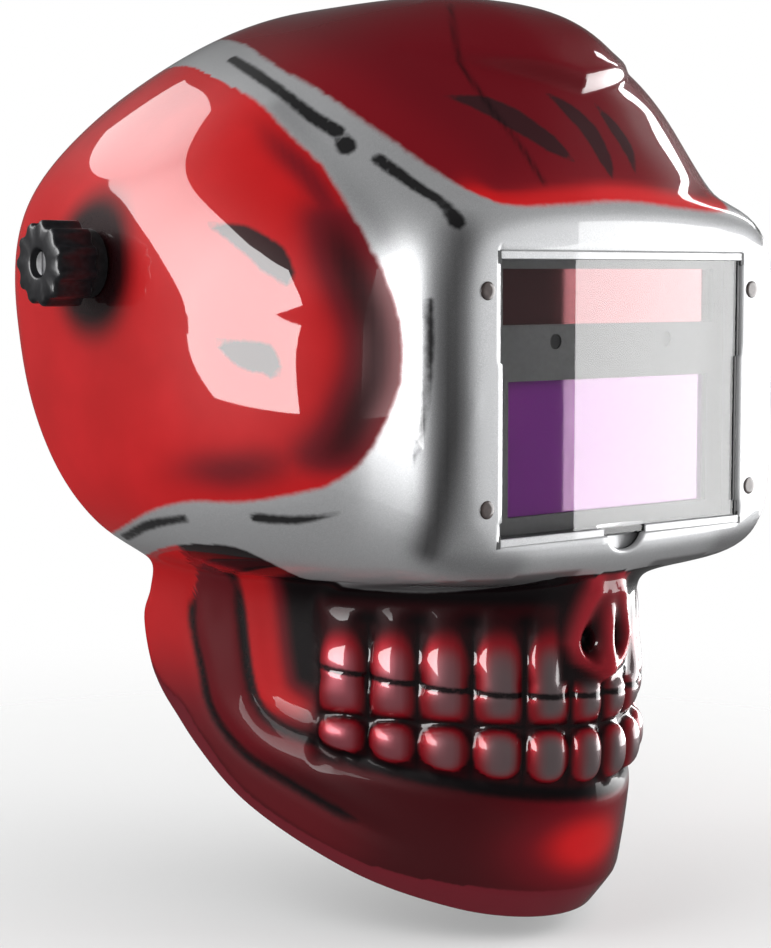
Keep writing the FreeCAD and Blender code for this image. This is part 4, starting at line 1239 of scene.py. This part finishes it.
def make_floor():
    """Pale disc under the helmet that fades into the white backdrop."""
    radii = [0.0, 0.15, 0.3, 0.45, 0.6, 0.7]
    count = 48
    vertices = [(0, 0, FLOOR_Z / MM)]
    for r in radii[1:]:
        for k in range(count):
            a = 2 * math.pi * k / count
            vertices.append((r * math.cos(a) / MM, r * math.sin(a) / MM, FLOOR_Z / MM))
    faces = [(0, 1 + k, 1 + (k + 1) % count) for k in range(count)]
    for ring in range(len(radii) - 2):
        for k in range(count):
            a, b = 1 + ring * count + k, 1 + ring * count + (k + 1) % count
            faces.append((a, a + count, b + count, b))
    floor = make_object("floor", vertices, faces)
    n = Nodes("floor_paper")
    away = n.new("VectorMath", operation="LENGTH")
    n.link(n.place(), away.inputs[0])
    n.set(Base_Color=n.mix(n.noise(3), (0.88, 0.88, 0.88), (0.92, 0.92, 0.92)), Roughness=0.9)
    n.set(Alpha=n.step(away.outputs["Value"], 0.60, 0.10))
    floor.data.materials.append(n.material)
    floor.visible_glossy = False


def make_world():
    """White backdrop, an even fill for the paint, and a darker room for its gloss to show."""
    world = bpy.data.worlds.new("world")
    world.use_nodes = True
    n = Tree(world.node_tree)
    back = n.tree.nodes["Background"]
    split = n.new("SeparateXYZ")
    n.link(n.place("Generated"), split.inputs[0])
    room = n.grey_stops(n.math("MULTIPLY_ADD", split.outputs["Z"], 0.5, 0.5), ROOM_LEVELS)
    path = n.new("LightPath")
    in_gloss = n.larger(path.outputs["Is Glossy Ray"], path.outputs["Is Transmission Ray"])
    seen = n.mix(in_gloss, (FILL_LEVEL,) * 3, room)
    n.link(n.mix(path.outputs["Is Camera Ray"], seen, (1.0, 1.0, 1.0)), back.inputs[0])
    back.inputs[1].default_value = 1.0
    bpy.context.scene.world = world
    bpy.context.scene.view_settings.view_transform = "Standard"


# Level by share of the way up, and the even level that lights the paint.
ROOM_LEVELS = ((0.30, 0.10), (1.0, 0.03), (0.45, 0.12), (0.60, 0.12), (0.75, 0.06))
FILL_LEVEL = 0.62

make_camera()
make_world()
make_floor()
lamp("left_lamp", (-0.9, 0.3, 0.7), 1.2, 1.0, 1.6)
lamp("right_lamp", (1.0, -0.7, 0.4), 1.0, 1.0, 3.2)
left_corners = [tuple(LEFT_NORMAL * 0.9 + LEFT_ALONG * u + LEFT_ACROSS * v) for u, v in LEFT_OUTLINE]
glow_panel("left_panel", left_corners, [(0.0, 13.5), (1.0, 2.0), (0.3, 11.5), (0.42, 7.5), (0.62, 3.2)],
           (tuple(LEFT_ALONG), -1.2, 1.8))
NEAR, FAR = (0.952, -1.102), (1.373, 0.489)
glow_panel("right_panel", [(*NEAR, -0.36), (*FAR, -0.36), (*FAR, 0.20), (*NEAR, 0.20)],
           [(0.0, 4.8), (1.0, 8.0)], ((0.2588, 0.9659, 0.0), -0.82, -0.30))
glow_panel("streak_panel", [(1.20, 0.14, 0.34), (1.17, 0.26, 0.34), (1.19, 0.02, 1.06), (1.19, -0.10, 1.06)],
           9.0)
